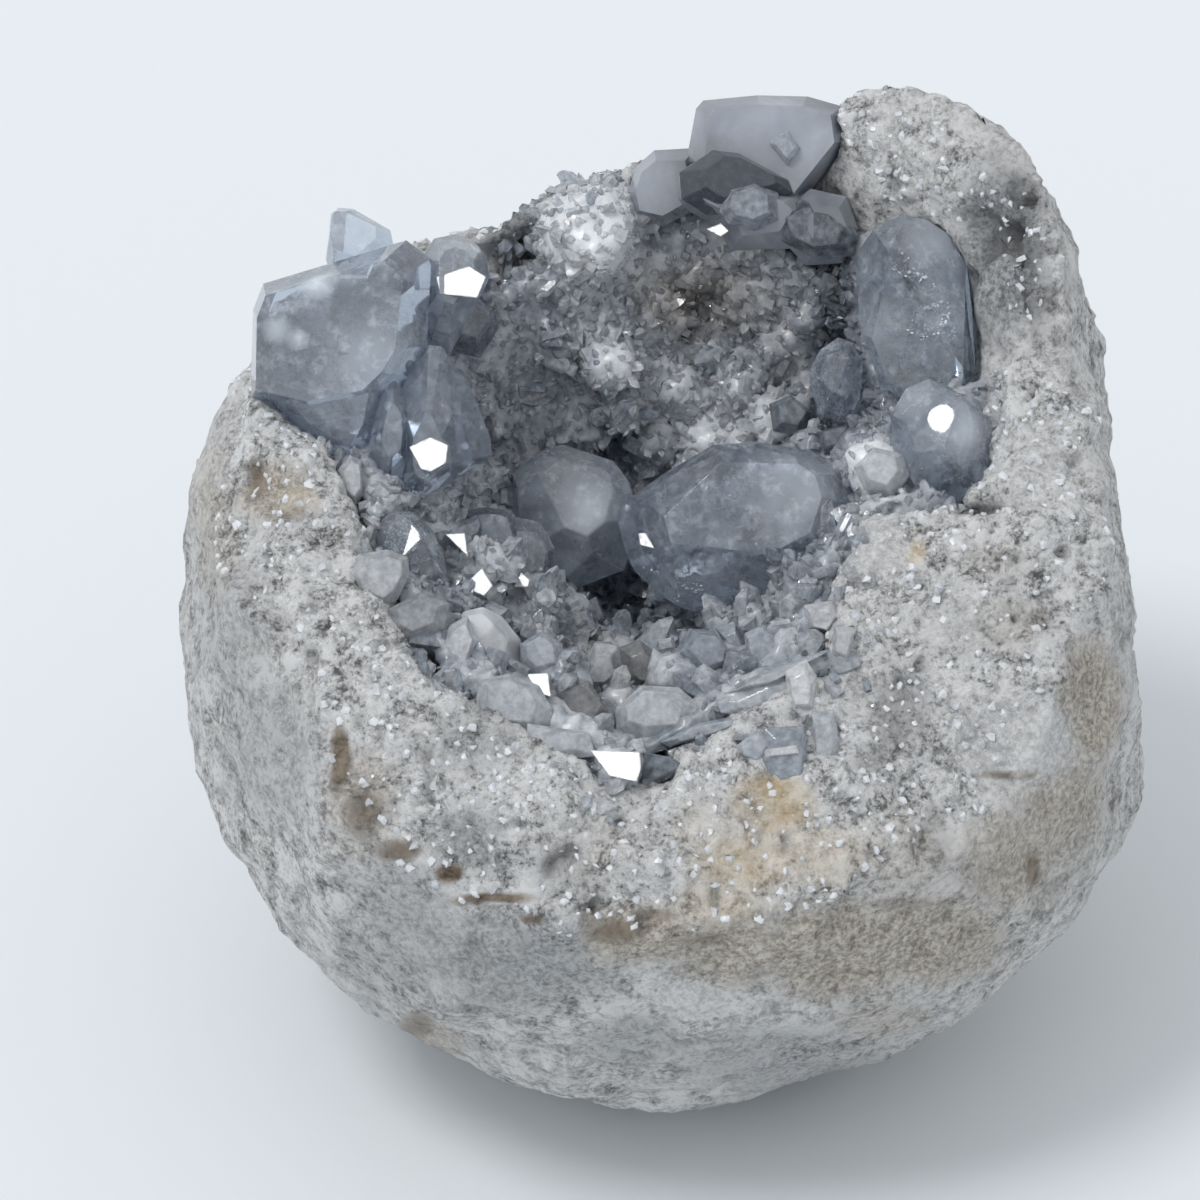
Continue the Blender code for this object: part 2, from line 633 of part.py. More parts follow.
def settled(piece):
    """Applies the cuts and joins, and drops any chip that the crystals' seats cut loose."""
    graph = bpy.context.evaluated_depsgraph_get()
    data = bpy.data.meshes.new_from_object(piece.evaluated_get(graph))
    mesh = bmesh.new()
    mesh.from_mesh(data)
    bmesh.ops.remove_doubles(mesh, verts=mesh.verts[:], dist=WELD * MM)
    bmesh.ops.dissolve_degenerate(mesh, edges=mesh.edges[:], dist=WELD * MM)
    bodies = []
    waiting = set(mesh.faces)
    while waiting:
        body = set()
        front = {waiting.pop()}
        while front:
            body |= front
            front = {other for face in front for edge in face.edges for other in edge.link_faces} - body
        waiting -= body
        bodies.append(body)
    largest = max(bodies, key=len)
    bmesh.ops.delete(mesh, geom=[face for face in mesh.faces if face not in largest], context="FACES")
    bmesh.ops.triangulate(mesh, faces=mesh.faces[:])
    mesh.to_mesh(data)
    mesh.free()
    piece.modifiers.clear()
    piece.data = data


def helper_group(name):
    group = bpy.data.collections.new(name)
    bpy.context.scene.collection.children.link(group)
    return group


def crystal_piece(name, shapes):
    """One node: its crystals joined where they have grown together."""
    piece = crystal(name, shapes[0])
    if len(shapes) > 1:
        grown = helper_group(name + "_parts")
        for index, shape in enumerate(shapes[1:]):
            helper(crystal(f"{name}_part_{index}", shape), grown)
        combine(piece, "UNION", grown)
    return piece


def sockets():
    """Every large crystal a little larger, to cut its seat in what holds it."""
    group = helper_group("sockets")
    for name, shapes in CRYSTALS.items():
        for index, shape in enumerate(shapes):
            helper(crystal(f"{name}_socket_{index}", shape, GAP), group)
    return group


def crust_sockets():
    group = helper_group("crust_sockets")
    for index, shape in enumerate(CRUST_CRYSTALS):
        helper(crystal(f"crust_socket_{index}", shape, GAP), group)
    return group


def clear_of_crystals(point, margin):
    """Whether a point of the body frame is away from every large crystal."""
    seen = body_to_seen(point)
    for shapes in CRYSTALS.values():
        for shape in shapes:
            planes = crystal_planes(**shape)[1]
            if max(normal.dot(seen - on_plane) for normal, on_plane in planes) < margin:
                return False
    return True


def druse_places(chance):
    """Seeded places for small crystals, spread evenly over the crust."""
    places = []
    shallow, deep = DRUSE_DEPTH
    for _ in range(DRUSE_TRIES):
        azimuth = chance.uniform(0.0, 360.0)
        depth = 1.0 - math.sqrt(chance.uniform((1.0 - deep) ** 2, (1.0 - shallow) ** 2))
        point = crust_point(azimuth, depth)
        if any((point - other).length < DRUSE_SPACING for other, _ in places):
            continue
        if clear_of_crystals(point, DRUSE_CLEARANCE):
            places.append((point, wall_normal(azimuth, depth)))
        if len(places) == DRUSE_COUNT:
            break
    return places


def small_crystal(name, point, normal, radius, height, turn):
    """A rhombic prism with a chisel end, its root in the crust."""
    planes = []
    for side in PRISM_SIDES:
        side = math.radians(side)
        outward = Vector((math.cos(side), math.sin(side), PRISM_FLARE)).normalized()
        planes.append((outward, outward * radius))
    for face in CHISEL_FACES:
        planes.append((Vector(face).normalized(), Vector((0.0, 0.0, height + CHISEL_RISE * radius))))
    planes.append((Vector(TIP_FACE).normalized(), Vector((0.0, 0.0, height - TIP_DROP * radius))))
    planes.append((Vector((0.0, 0.0, -1.0)), Vector((0.0, 0.0, -DRUSE_ROOT))))
    mesh = convex_solid(Vector((0.0, 0.0, 0.0)), planes)
    matrix = normal.to_track_quat("Z", "Y").to_matrix().to_4x4() @ Matrix.Rotation(turn, 4, "Z")
    bmesh.ops.transform(mesh, matrix=Matrix.Translation(point) @ matrix, verts=mesh.verts[:])
    return finished(name, mesh)


def druse():
    chance = random.Random(DRUSE_SEED)
    group = helper_group("druse")
    for index, (point, normal) in enumerate(druse_places(chance)):
        tilt = Vector([chance.uniform(-DRUSE_TILT, DRUSE_TILT) for _ in range(3)])
        helper(small_crystal(
            f"druse_{index}",
            point,
            (normal + tilt).normalized(),
            chance.uniform(*DRUSE_RADIUS),
            chance.uniform(*DRUSE_HEIGHT),
            chance.uniform(0.0, math.tau),
        ), group)
    for index, shape in enumerate(CRUST_CRYSTALS):
        helper(crystal(f"crust_crystal_{index}", shape), group)
    return group


def centre_on_base(pieces):
    """Moves everything so that the origin is under the middle of the geode, where it rests."""
    bpy.context.view_layer.update()
    corners = [vertex.co for piece in pieces for vertex in piece.data.vertices]
    across = [point.x for point in corners]
    along = [point.y for point in corners]
    frame = bpy.data.objects.new("geode_frame", None)
    frame.location = (-(min(across) + max(across)) / 2, -(min(along) + max(along)) / 2, 0.0)
    bpy.context.scene.collection.objects.link(frame)
    for piece in bpy.data.objects:
        if piece != frame:
            piece.parent = frame


def main():
    for thing in list(bpy.data.objects):
        bpy.data.objects.remove(thing)
    shell = rock_shell()
    flat_seat(shell)
    crust = crust_slab()
    seats = sockets()
    combine(shell, "DIFFERENCE", seats)
    combine(shell, "DIFFERENCE", crust_sockets())
    combine(crust, "UNION", druse())
    combine(crust, "DIFFERENCE", seats)
    settled(shell)
    settled(crust)
    finish(shell, ROCK_COLOUR, ROCK_ROUGHNESS)
    finish(crust, CRUST_COLOUR, DRUSE_GLOSS_ROUGHNESS)
    crystals = [crystal_piece(name, shapes) for name, shapes in CRYSTALS.items()]
    for piece in crystals:
        colour = WHITE_CRYSTAL_COLOUR if piece.name == "broken_white_crystal" else CRYSTAL_COLOUR
        finish(piece, colour, CRYSTAL_GLOSS_ROUGHNESS, CRYSTAL_CLEARNESS)
    centre_on_base([shell, crust, *crystals])


main()
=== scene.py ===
"""The looks of a celestite geode: its rough rock, its druse and its clear grey-blue crystals.

Lengths named in millimetres become metres through MM. The seen frame has its origin at the rock's centre, with u to
the right, v up and d towards the camera. The mouth frame shares that centre: a right, b to the back, c out of the
hollow's mouth.
"""

import math

import bmesh
import bpy
import numpy as np
from mathutils import Matrix, Vector
from mathutils.bvhtree import BVHTree
from mathutils.kdtree import KDTree


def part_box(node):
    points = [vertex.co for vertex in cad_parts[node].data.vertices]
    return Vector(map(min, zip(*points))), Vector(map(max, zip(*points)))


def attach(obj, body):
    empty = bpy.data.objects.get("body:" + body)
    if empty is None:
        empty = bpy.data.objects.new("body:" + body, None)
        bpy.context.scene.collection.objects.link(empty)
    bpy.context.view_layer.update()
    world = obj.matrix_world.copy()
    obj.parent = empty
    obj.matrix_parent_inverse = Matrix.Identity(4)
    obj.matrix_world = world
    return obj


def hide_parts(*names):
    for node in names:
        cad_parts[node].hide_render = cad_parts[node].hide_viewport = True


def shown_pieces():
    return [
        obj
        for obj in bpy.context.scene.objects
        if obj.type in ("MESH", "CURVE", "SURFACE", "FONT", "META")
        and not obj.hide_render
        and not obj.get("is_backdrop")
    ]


MM = 0.001

# The view: the photograph's frame, the camera's distance and where the rock's centre shows
FRAME_PIXELS = 1200
FOCAL_PIXELS = 7000
SENSOR_WIDTH = 36.0
CAMERA_DISTANCE = 624.0 * MM
VIEW_ELEVATION = math.radians(36.4)
VIEW_SINE, VIEW_COSINE = math.sin(VIEW_ELEVATION), math.cos(VIEW_ELEVATION)
ROCK_CENTRE = Vector((-0.33, 0.94, 42.0)) * MM
CENTRE_PIXEL = (659, 605)
MOUTH_LEAN = math.radians(20.0)
MOUTH_AXIS = Vector((0.0, -math.sin(MOUTH_LEAN), math.cos(MOUTH_LEAN)))

# The light: one soft sun from the upper left, and a bright surround that is strongest on that side
SUN_WAY = Vector((-0.38, -0.26, 0.88)).normalized()
SUN_WIDTH = math.radians(17.0)
SUN_STRENGTH = 1.0

# Where the weathered skin ends, as in the part: azimuth from the front, turning right, and angle from the
# mouth's axis
BREAK_EDGE = (
    (0.0, 72.0), (24.0, 70.0), (45.0, 73.0), (62.0, 63.0), (90.0, 58.0), (118.0, 53.0), (148.0, 53.0),
    (165.0, 62.0), (182.0, 80.0), (205.0, 88.0), (230.0, 82.0), (258.0, 65.0), (276.0, 66.0), (296.0, 60.0),
    (314.0, 63.0), (332.0, 71.0), (360.0, 72.0),
)

# Patches in pixels of the photograph: across, down, radius across, radius down, strength
TAN_PATCHES = (
    (640, 935, 60, 32, 0.8), (730, 950, 70, 40, 0.7), (830, 950, 80, 50, 0.85), (930, 940, 80, 45, 0.75),
    (1010, 860, 60, 55, 0.6), (1060, 800, 50, 70, 0.6), (1088, 700, 30, 60, 0.9), (900, 860, 60, 60, 0.35),
    (1000, 625, 60, 35, 0.35), (275, 495, 36, 32, 0.7), (215, 520, 26, 90, 0.4), (360, 800, 40, 60, 0.45),
    (430, 1045, 40, 30, 0.45), (590, 850, 70, 60, 0.25), (880, 1020, 60, 25, 0.4), (990, 560, 60, 30, 0.25),
)
RUST_PATCHES = (
    (768, 805, 42, 30, 0.95), (740, 860, 60, 40, 0.55), (810, 855, 60, 40, 0.4), (720, 900, 60, 30, 0.4),
    (852, 503, 14, 12, 0.7), (913, 553, 12, 16, 0.7), (300, 505, 26, 20, 0.35), (700, 830, 40, 40, 0.3),
)
BROWN_PATCHES = (
    (338, 758, 10, 34, 0.9), (362, 812, 20, 26, 0.55), (395, 850, 26, 12, 0.6), (447, 873, 14, 9, 0.95),
    (490, 898, 40, 6, 0.8), (530, 918, 16, 5, 0.7), (610, 930, 30, 12, 0.6), (650, 915, 26, 8, 0.4),
    (433, 1053, 12, 9, 0.95), (418, 1022, 18, 16, 0.5), (700, 940, 40, 8, 0.4), (1008, 775, 34, 5, 0.6),
    (1030, 870, 8, 16, 0.9), (900, 905, 50, 8, 0.35), (260, 480, 10, 26, 0.6), (290, 520, 26, 12, 0.3),
    (975, 880, 40, 30, 0.2), (585, 915, 12, 20, 0.4),
)
WHITE_PATCHES = (
    (1010, 740, 60, 50, 0.9), (690, 1002, 40, 16, 0.8), (870, 545, 36, 40, 0.9), (860, 700, 40, 60, 0.4),
    (720, 815, 60, 40, 0.3), (900, 160, 60, 50, 0.3), (1040, 470, 40, 60, 0.5), (950, 620, 60, 50, 0.4),
)
# the patch at (560, 230) greys the back rim's inner wall as painted shade; the others grey the rock where they lie
GREY_PATCHES = (
    (515, 960, 110, 55, 0.55), (400, 930, 70, 80, 0.45), (780, 1060, 120, 36, 0.4), (465, 840, 40, 40, 0.5),
    (560, 870, 40, 40, 0.4), (270, 750, 60, 90, 0.35), (1000, 250, 46, 90, 0.8), (560, 230, 80, 50, 1.0),
    (230, 620, 50, 120, 0.3), (630, 1040, 60, 30, 0.4), (470, 740, 60, 40, 0.35),
)
# holes: dents in the broken rock, which are also painted dark as shade in the rock's colour
HOLES = (
    (400, 510, 36, 34, 0.9), (896, 712, 30, 40, 0.6), (975, 507, 26, 7, 1.0), (655, 770, 16, 14, 1.0),
    (1008, 215, 22, 16, 0.5), (1030, 290, 16, 30, 0.5), (965, 280, 14, 20, 0.4), (515, 250, 34, 26, 0.6),
    (905, 680, 16, 16, 0.6), (870, 760, 20, 12, 0.5), (455, 590, 20, 12, 0.4), (1040, 620, 10, 10, 0.4),
)
FROSTY_LUMPS = (
    (590, 236, 50, 44, 1.0), (655, 375, 46, 36, 0.6), (722, 430, 60, 38, 0.7), (690, 215, 40, 26, 0.35),
    (880, 470, 28, 30, 0.65), (740, 245, 22, 16, 0.5), (500, 470, 26, 16, 0.3), (560, 400, 40, 30, 0.2),
)
WARM_DRUSE = ((700, 300, 66, 42, 0.8), (600, 645, 40, 30, 0.35), (790, 350, 40, 60, 0.3), (640, 700, 60, 30, 0.35))
# dips in the druse, deepened in the geometry and darkened in tone: painted shade in crevices and under crystals
DRUSE_DIPS_AND_PAINTED_SHADE = (
    (622, 600, 34, 38, 1.0), (832, 300, 20, 100, 0.9), (610, 450, 60, 26, 0.5), (500, 420, 50, 50, 0.25),
    (800, 235, 40, 30, 0.6), (560, 660, 30, 20, 0.3), (760, 500, 60, 30, 0.3), (655, 772, 18, 14, 0.9),
    (530, 300, 50, 26, 0.2), (700, 640, 30, 16, 0.4), (830, 440, 30, 20, 0.6),
)


# Crystals set one by one: outline in pixels of the photograph, rise in mm, lean of the top in pixels, tone, warmth,
# and whether the top mirrors the sun. The rows whose top mirrors the sun also get near-white tones, a painted
# highlight over the sun's real glint. The second row's low tone is the shaded side of the bright crystal in the
# first
# row: painted shade
HAND_CRYSTALS = (
    (((590, 750), (640, 752), (641, 768), (637, 782), (609, 776)), 1.6, (0, 2), 0.85, 0.0, True),
    # the shaded side of the bright crystal above, its low tone a painted shade
    (((640, 752), (666, 756), (687, 768), (643, 789), (638, 782)), 0.6, (6, -4), 0.15, 0.0, False),
    (((527, 674), (548, 673), (551, 697), (536, 692)), 1.6, (0, 0), 0.95, 0.0, True),
    (((475, 680), (506, 673), (536, 685), (550, 709), (543, 737), (501, 737), (472, 713)),
     1.8, (-3, -4), 0.66, 0.0, False),
    (((524, 723), (586, 732), (593, 756), (548, 761), (522, 746)), 1.0, (-4, -3), 0.70, 0.0, False),
    (((554, 692), (586, 680), (606, 711), (591, 735), (557, 718)), 1.6, (3, -4), 0.38, 0.8, False),
    (((576, 671), (593, 642), (617, 645), (624, 671), (607, 685), (586, 685)),
     2.0, (-2, 4), 0.75, 0.3, False),
    (((617, 647), (638, 640), (666, 661), (666, 683), (633, 685), (621, 676)), 1.4, (3, 3), 0.30, 0.8, False),
    (((612, 709), (638, 685), (676, 687), (699, 706), (695, 737), (643, 742), (614, 732)),
     2.0, (-3, -5), 0.74, 0.0, False),
    (((672, 652), (687, 628), (713, 631), (729, 652), (725, 671), (695, 680)),
     2.2, (4, -3), 0.34, 0.0, False),
    (((713, 628), (732, 621), (742, 642), (737, 666), (728, 652)), 1.6, (2, 3), 0.45, 0.0, False),
    (((742, 633), (761, 624), (782, 635), (784, 661), (761, 671), (743, 652)),
     1.8, (-3, 3), 0.45, 0.0, False),
    (((671, 671), (695, 680), (713, 694), (699, 702), (673, 690)), 1.2, (2, 2), 0.28, 0.0, False),
    (((713, 702), (761, 680), (794, 676), (791, 711), (756, 716), (718, 713)), 0.9, (6, 0), 0.62, 0.0, False),
    (((720, 694), (751, 676), (808, 654), (824, 652), (794, 671), (761, 687)), 1.8, (2, 0), 0.66, 0.0, False),
    (((782, 671), (803, 659), (814, 676), (810, 709), (791, 711), (784, 694)), 1.5, (0, 3), 1.0, 0.0, False),
    (((761, 728), (801, 725), (804, 756), (801, 787), (770, 784), (756, 756)), 0.8, (3, 0), 0.34, 0.0, False),
    (((758, 749), (798, 742), (801, 754), (761, 758)), 1.2, (0, 0), 1.05, 0.0, False),
    (((808, 713), (831, 709), (836, 742), (831, 775), (810, 765)), 1.0, (-2, 0), 0.62, 0.0, False),
    (((657, 742), (695, 723), (756, 711), (763, 716), (713, 735), (666, 747)),
     1.5, (-4, 1), 0.52, 0.0, False),
    (((732, 746), (756, 728), (770, 742), (756, 763), (737, 756)), 1.0, (0, 2), 0.55, 0.0, False),
    (((801, 605), (831, 600), (841, 614), (829, 633), (808, 628)), 2.0, (-2, 3), 0.88, 0.0, False),
    (((831, 624), (855, 628), (846, 661), (829, 657)), 1.4, (0, 0), 0.80, 0.2, False),
    (((445, 534), (465, 533), (468, 557)), 1.4, (0, 0), 1.0, 0.0, True),
    (((469, 580), (482, 568), (493, 586), (484, 596), (474, 592)), 0.7, (0, 0), 0.95, 0.0, True),
    (((514, 587), (521, 572), (530, 580), (528, 587)), 0.8, (0, 0), 1.0, 0.0, True),
    (((336, 577), (356, 554), (385, 549), (406, 557), (407, 577), (393, 603), (377, 615), (347, 603)),
     2.4, (4, -4), 0.74, 0.15, False),
    (((385, 609), (417, 592), (447, 603), (441, 629), (406, 644), (388, 632)),
     1.4, (0, -3), 0.48, 0.35, False),
    (((433, 650), (447, 625), (465, 615), (475, 640), (462, 680), (445, 672)),
     1.8, (2, -3), 0.85, 0.0, False),
    (((517, 644), (540, 630), (560, 644), (563, 673), (534, 679), (520, 665)),
     1.8, (-2, -4), 0.58, 0.0, False),
    (((335, 470), (348, 455), (360, 460), (362, 495), (352, 510), (338, 500)),
     1.8, (2, -3), 0.82, 0.0, False),
    (((679, 172), (712, 150), (738, 153), (788, 180), (793, 193), (755, 205), (717, 215), (706, 215), (681, 199)),
     2.4, (6, -8), -0.2, 0.0, False),
    (((718, 211), (728, 188), (755, 181), (778, 193), (778, 220), (755, 231), (728, 224)),
     2.6, (0, -3), 0.34, 0.0, False),
    (((773, 215), (800, 199), (836, 211), (859, 235), (854, 256), (818, 260), (782, 242)),
     2.0, (-4, -3), 0.12, 0.0, False),
    (((769, 143), (787, 130), (800, 148), (787, 166)), 1.5, (0, 0), 0.5, 0.0, False),
    (((706, 229), (721, 223), (729, 231), (721, 237)), 1.4, (0, 0), 1.0, 0.0, True),
    (((852, 467), (872, 447), (904, 454), (908, 476), (890, 499), (863, 490)),
     2.0, (-2, -4), 0.8, 0.0, False),
    (((769, 404), (791, 395), (814, 413), (800, 436), (773, 431)), 1.6, (2, -3), 0.22, 0.0, False),
    (((818, 431), (854, 422), (854, 449), (823, 454)), 1.5, (-2, -2), 0.25, 0.0, False),
    # plates on the large crystals, tilted to mirror the sun and near white: painted highlight over the real glint
    (((409, 447), (430, 437), (448, 445), (446, 463), (430, 472), (421, 469)), 0.35, (0, 0), 0.9, 0.0, True),
    (((436, 277), (469, 266), (486, 277), (477, 298), (440, 294)), 0.35, (0, 0), 0.9, 0.0, True),
    (((638, 533), (646, 533), (655, 549), (640, 545)), 0.3, (0, 0), 0.9, 0.0, True),
)

# Flat faces cut on single crystals: pixel of the photograph, depth in mm, and the way they face in the seen frame
CUTS = {
    "blade_crystal": ((898, 330, 1.0, (-0.28, -0.12, 0.95)), (936, 262, 1.3, (0.42, 0.36, 0.83)),
                      (970, 330, 0.5, (0.97, 0.05, 0.22)), (865, 300, 0.8, (-0.85, 0.1, 0.5))),
    "front_crystal": ((735, 510, 0.5, (0.06, 0.10, 0.99)), (720, 590, 1.3, (-0.08, -0.78, 0.62)),
                      (668, 488, 1.0, (-0.52, 0.56, 0.65)), (630, 540, 1.3, (-0.86, -0.15, 0.48)),
                      (760, 455, 0.9, (0.05, 0.82, 0.57)), (655, 585, 1.2, (-0.62, -0.62, 0.48))),
    "middle_crystal": ((540, 505, 1.0, (-0.45, 0.05, 0.89)), (590, 480, 0.9, (0.35, 0.45, 0.82)),
                       (560, 545, 1.0, (-0.1, -0.6, 0.79))),
    "block_crystal": ((920, 430, 0.9, (-0.32, 0.3, 0.9)), (965, 440, 1.0, (0.62, -0.05, 0.78)),
                      (930, 480, 1.0, (-0.1, -0.7, 0.7))),
    "egg_crystal": ((395, 535, 0.5, (-0.6, 0.35, 0.72)), (422, 562, 0.6, (0.35, -0.25, 0.9))),
    "round_crystal": ((830, 370, 0.4, (-0.5, 0.2, 0.84)), (852, 385, 0.4, (0.45, -0.15, 0.88))),
    "broken_white_crystal": ((480, 625, 0.6, (-0.2, 0.6, 0.77)), (500, 650, 0.7, (0.35, -0.1, 0.93))),
}


def camera_place():
    scale = CAMERA_DISTANCE / FOCAL_PIXELS
    middle = FRAME_PIXELS / 2
    aim = ROCK_CENTRE + Vector(((middle - CENTRE_PIXEL[0]) * scale, 0.0, 0.0))
    aim += Vector((0.0, VIEW_SINE, VIEW_COSINE)) * (CENTRE_PIXEL[1] - middle) * scale
    return aim + Vector((0.0, -VIEW_COSINE, VIEW_SINE)) * CAMERA_DISTANCE


def camera():
    data = bpy.data.cameras.new("camera")
    data.lens = FOCAL_PIXELS / FRAME_PIXELS * SENSOR_WIDTH
    data.sensor_width = SENSOR_WIDTH
    data.clip_start = 0.01
    thing = bpy.data.objects.new("camera", data)
    thing.location = camera_place()
    thing.rotation_euler = (math.pi / 2 - VIEW_ELEVATION, 0.0, 0.0)
    bpy.context.scene.collection.objects.link(thing)
    bpy.context.scene.camera = thing


def to_seen(points):
    """Millimetres in the seen frame of an array of points."""
    x, y, z = ((points - np.array(ROCK_CENTRE)) / MM).T
    return x, y * VIEW_SINE + z * VIEW_COSINE, z * VIEW_SINE - y * VIEW_COSINE


def to_pixels(points):
    """Where an array of points shows in the photograph."""
    u, v, d = to_seen(points)
    scale = FOCAL_PIXELS / (CAMERA_DISTANCE / MM - d)
    return CENTRE_PIXEL[0] + u * scale, CENTRE_PIXEL[1] - v * scale


def to_mouth(points):
    """Millimetres in the mouth frame of an array of points."""
    x, y, z = ((points - np.array(ROCK_CENTRE)) / MM).T
    sine, cosine = math.sin(MOUTH_LEAN), math.cos(MOUTH_LEAN)
    return x, y * cosine + z * sine, z * cosine - y * sine


def pixel_way(x, y):
    """The direction in which a pixel of the photograph looks."""
    across = Vector((1.0, 0.0, 0.0)) * (x - FRAME_PIXELS / 2)
    up = Vector((0.0, VIEW_SINE, VIEW_COSINE)) * (FRAME_PIXELS / 2 - y)
    return (across + up + Vector((0.0, VIEW_COSINE, -VIEW_SINE)) * FOCAL_PIXELS).normalized()


def tree_of(*meshes):
    """A search tree over some meshes."""
    joined = bmesh.new()
    for mesh in meshes:
        joined.from_mesh(mesh)
    tree = BVHTree.FromBMesh(joined)
    joined.free()
    return tree


def seen_point(tree, x, y):
    """Where the line of sight through a pixel meets a tree, and the normal there, or two Nones."""
    place, normal, _, _ = tree.ray_cast(camera_place(), pixel_way(x, y))
    return place, normal


def seen_way(u, v, d):
    """A direction given in the seen frame."""
    return Vector((u, v * VIEW_SINE - d * VIEW_COSINE, v * VIEW_COSINE + d * VIEW_SINE)).normalized()


def at_depth(x, y, d):
    """The point that shows at a pixel and lies d millimetres towards the camera from the rock's centre."""
    scale = (CAMERA_DISTANCE / MM - d) / FOCAL_PIXELS
    u, v = (x - CENTRE_PIXEL[0]) * scale, (CENTRE_PIXEL[1] - y) * scale
    return ROCK_CENTRE + Vector((u, v * VIEW_SINE - d * VIEW_COSINE, v * VIEW_COSINE + d * VIEW_SINE)) * MM


def within(x, y, outline):
    """Whether pixels lie within an outline, or within a few pixels of it."""
    middle_x = sum(corner[0] for corner in outline) / len(outline)
    middle_y = sum(corner[1] for corner in outline) / len(outline)
    inside = np.ones(len(x), bool)
    turn = 0.0
    for (x0, y0), (x1, y1) in zip(outline, outline[1:] + outline[:1]):
        turn += (x0 - middle_x) * (y1 - middle_y) - (x1 - middle_x) * (y0 - middle_y)
    for (x0, y0), (x1, y1) in zip(outline, outline[1:] + outline[:1]):
        side = ((x1 - x0) * (y - y0) - (y1 - y0) * (x - x0)) / math.hypot(x1 - x0, y1 - y0)
        inside &= side * math.copysign(1.0, turn) > -2.0
    return inside


def under_hand_crystals(points):
    x, y = to_pixels(points)
    hidden = np.zeros(len(points), bool)
    for outline, *_ in HAND_CRYSTALS:
        hidden |= within(x, y, outline)
    return hidden


def patches(x, y, rows):
    """How far each pixel lies in the patches: soft ellipses of a given strength."""
    total = np.zeros(len(x))
    for across, down, reach_across, reach_down, strength in rows:
        away = ((x - across) / reach_across) ** 2 + ((y - down) / reach_down) ** 2
        total = np.maximum(total, strength * np.exp(-0.9 * away ** 1.5))
    return total


def smooth(low, high, value):
    share = np.clip((value - low) / (high - low), 0.0, 1.0)
    return share * share * (3.0 - 2.0 * share)


def value_noise(points, size, seed):
    """Smooth noise from -1 to 1 whose features are size millimetres across."""
    lattice = np.random.default_rng(seed).uniform(-1.0, 1.0, (32, 32, 32))
    scaled = points / (size * MM) + 1000.0
    cell = np.floor(scaled).astype(int)
    along = scaled - cell
    along = along * along * (3.0 - 2.0 * along)
    total = np.zeros(len(points))
    for corner in np.ndindex(2, 2, 2):
        weight = np.prod(np.where(corner, along, 1.0 - along), axis=1)
        index = (cell + corner) % 32
        total += weight * lattice[index[:, 0], index[:, 1], index[:, 2]]
    return total


def layered(points, layers, seed):
    return sum(height * value_noise(points, size, seed + step) for step, (size, height) in enumerate(layers))


def grains(points, size, seed):
    """For each point, the way to the middle of its grain in sizes, and three random numbers of that grain."""
    rows = np.random.default_rng(seed).uniform(0.0, 1.0, (32, 32, 32, 6))
    scaled = points / (size * MM) + 1000.0
    cell = np.floor(scaled).astype(int)
    nearest = np.full(len(points), 9.0)
    away = np.zeros((len(points), 3))
    chance = np.zeros((len(points), 3))
    for step in np.ndindex(3, 3, 3):
        other = cell + step - 1
        index = other % 32
        row = rows[index[:, 0], index[:, 1], index[:, 2]]
        offset = scaled - (other + row[:, :3])
        distance = np.linalg.norm(offset, axis=1)
        closer = distance < nearest
        nearest[closer] = distance[closer]
        away[closer] = offset[closer]
        chance[closer] = row[closer, 3:]
    return away, chance


def new_object(name, data):
    thing = bpy.data.objects.new(name, data)
    bpy.context.scene.collection.objects.link(thing)
    return thing


def vertices_of(mesh, what="co"):
    values = np.empty(len(mesh.vertices) * 3)
    mesh.vertices.foreach_get(what, values)
    return values.reshape(-1, 3)


def move_vertices(mesh, points):
    mesh.vertices.foreach_set("co", points.ravel())
    mesh.update()


def applied(thing):
    """Turns a piece's modifiers into its mesh."""
    graph = bpy.context.evaluated_depsgraph_get()
    data = bpy.data.meshes.new_from_object(thing.evaluated_get(graph))
    thing.modifiers.clear()
    thing.data = data
    return thing


def remeshed(name, node, voxel):
    thing = new_object(name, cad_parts[node].data.copy())
    modifier = thing.modifiers.new("Remesh", "REMESH")
    modifier.mode = "VOXEL"
    modifier.voxel_size = voxel * MM
    modifier.use_smooth_shade = True
    return applied(thing)


def add_attribute(mesh, name, values):
    attribute = mesh.attributes.new(name, "FLOAT", "POINT")
    attribute.data.foreach_set("value", values.astype(np.float32))


def piece(thing, slot, *nodes):
    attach(thing, "root")
    if nodes:
        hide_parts(*nodes)


# Materials

def node(material, kind, inputs=None, **settings):
    """Adds a node: sockets given as inputs are linked, and other values are set."""
    made = material.node_tree.nodes.new(kind)
    for name, value in settings.items():
        setattr(made, name, value)
    for name, value in (inputs or {}).items():
        socket = made.inputs[name]
        if isinstance(value, bpy.types.NodeSocket):
            material.node_tree.links.new(value, socket)
        else:
            socket.default_value = value
    return made


def new_material(name):
    material = bpy.data.materials.new(name)
    material.use_nodes = True
    material.node_tree.nodes.clear()
    return material


def finish_material(material, shader, volume=None):
    output = node(material, "ShaderNodeOutputMaterial", {"Surface": shader.outputs[0]})
    if volume:
        material.node_tree.links.new(volume.outputs[0], output.inputs["Volume"])
    return material


def place(material):
    return node(material, "ShaderNodeTexCoord").outputs["Object"]


def noise(material, where, size, detail=4.0, roughness=0.6, distortion=0.0):
    """Noise from 0 to 1 whose features are about size millimetres across."""
    made = node(material, "ShaderNodeTexNoise", {
        "Vector": where, "Scale": 1.0 / (size * MM), "Detail": detail, "Roughness": roughness,
        "Distortion": distortion,
    })
    return made.outputs["Fac"]


def ramp(material, value, low, high, start=0.0, end=1.0):
    """Maps low..high of a value to start..end."""
    return node(material, "ShaderNodeMapRange", {
        "Value": value, "From Min": low, "From Max": high, "To Min": start, "To Max": end,
    }).outputs["Result"]


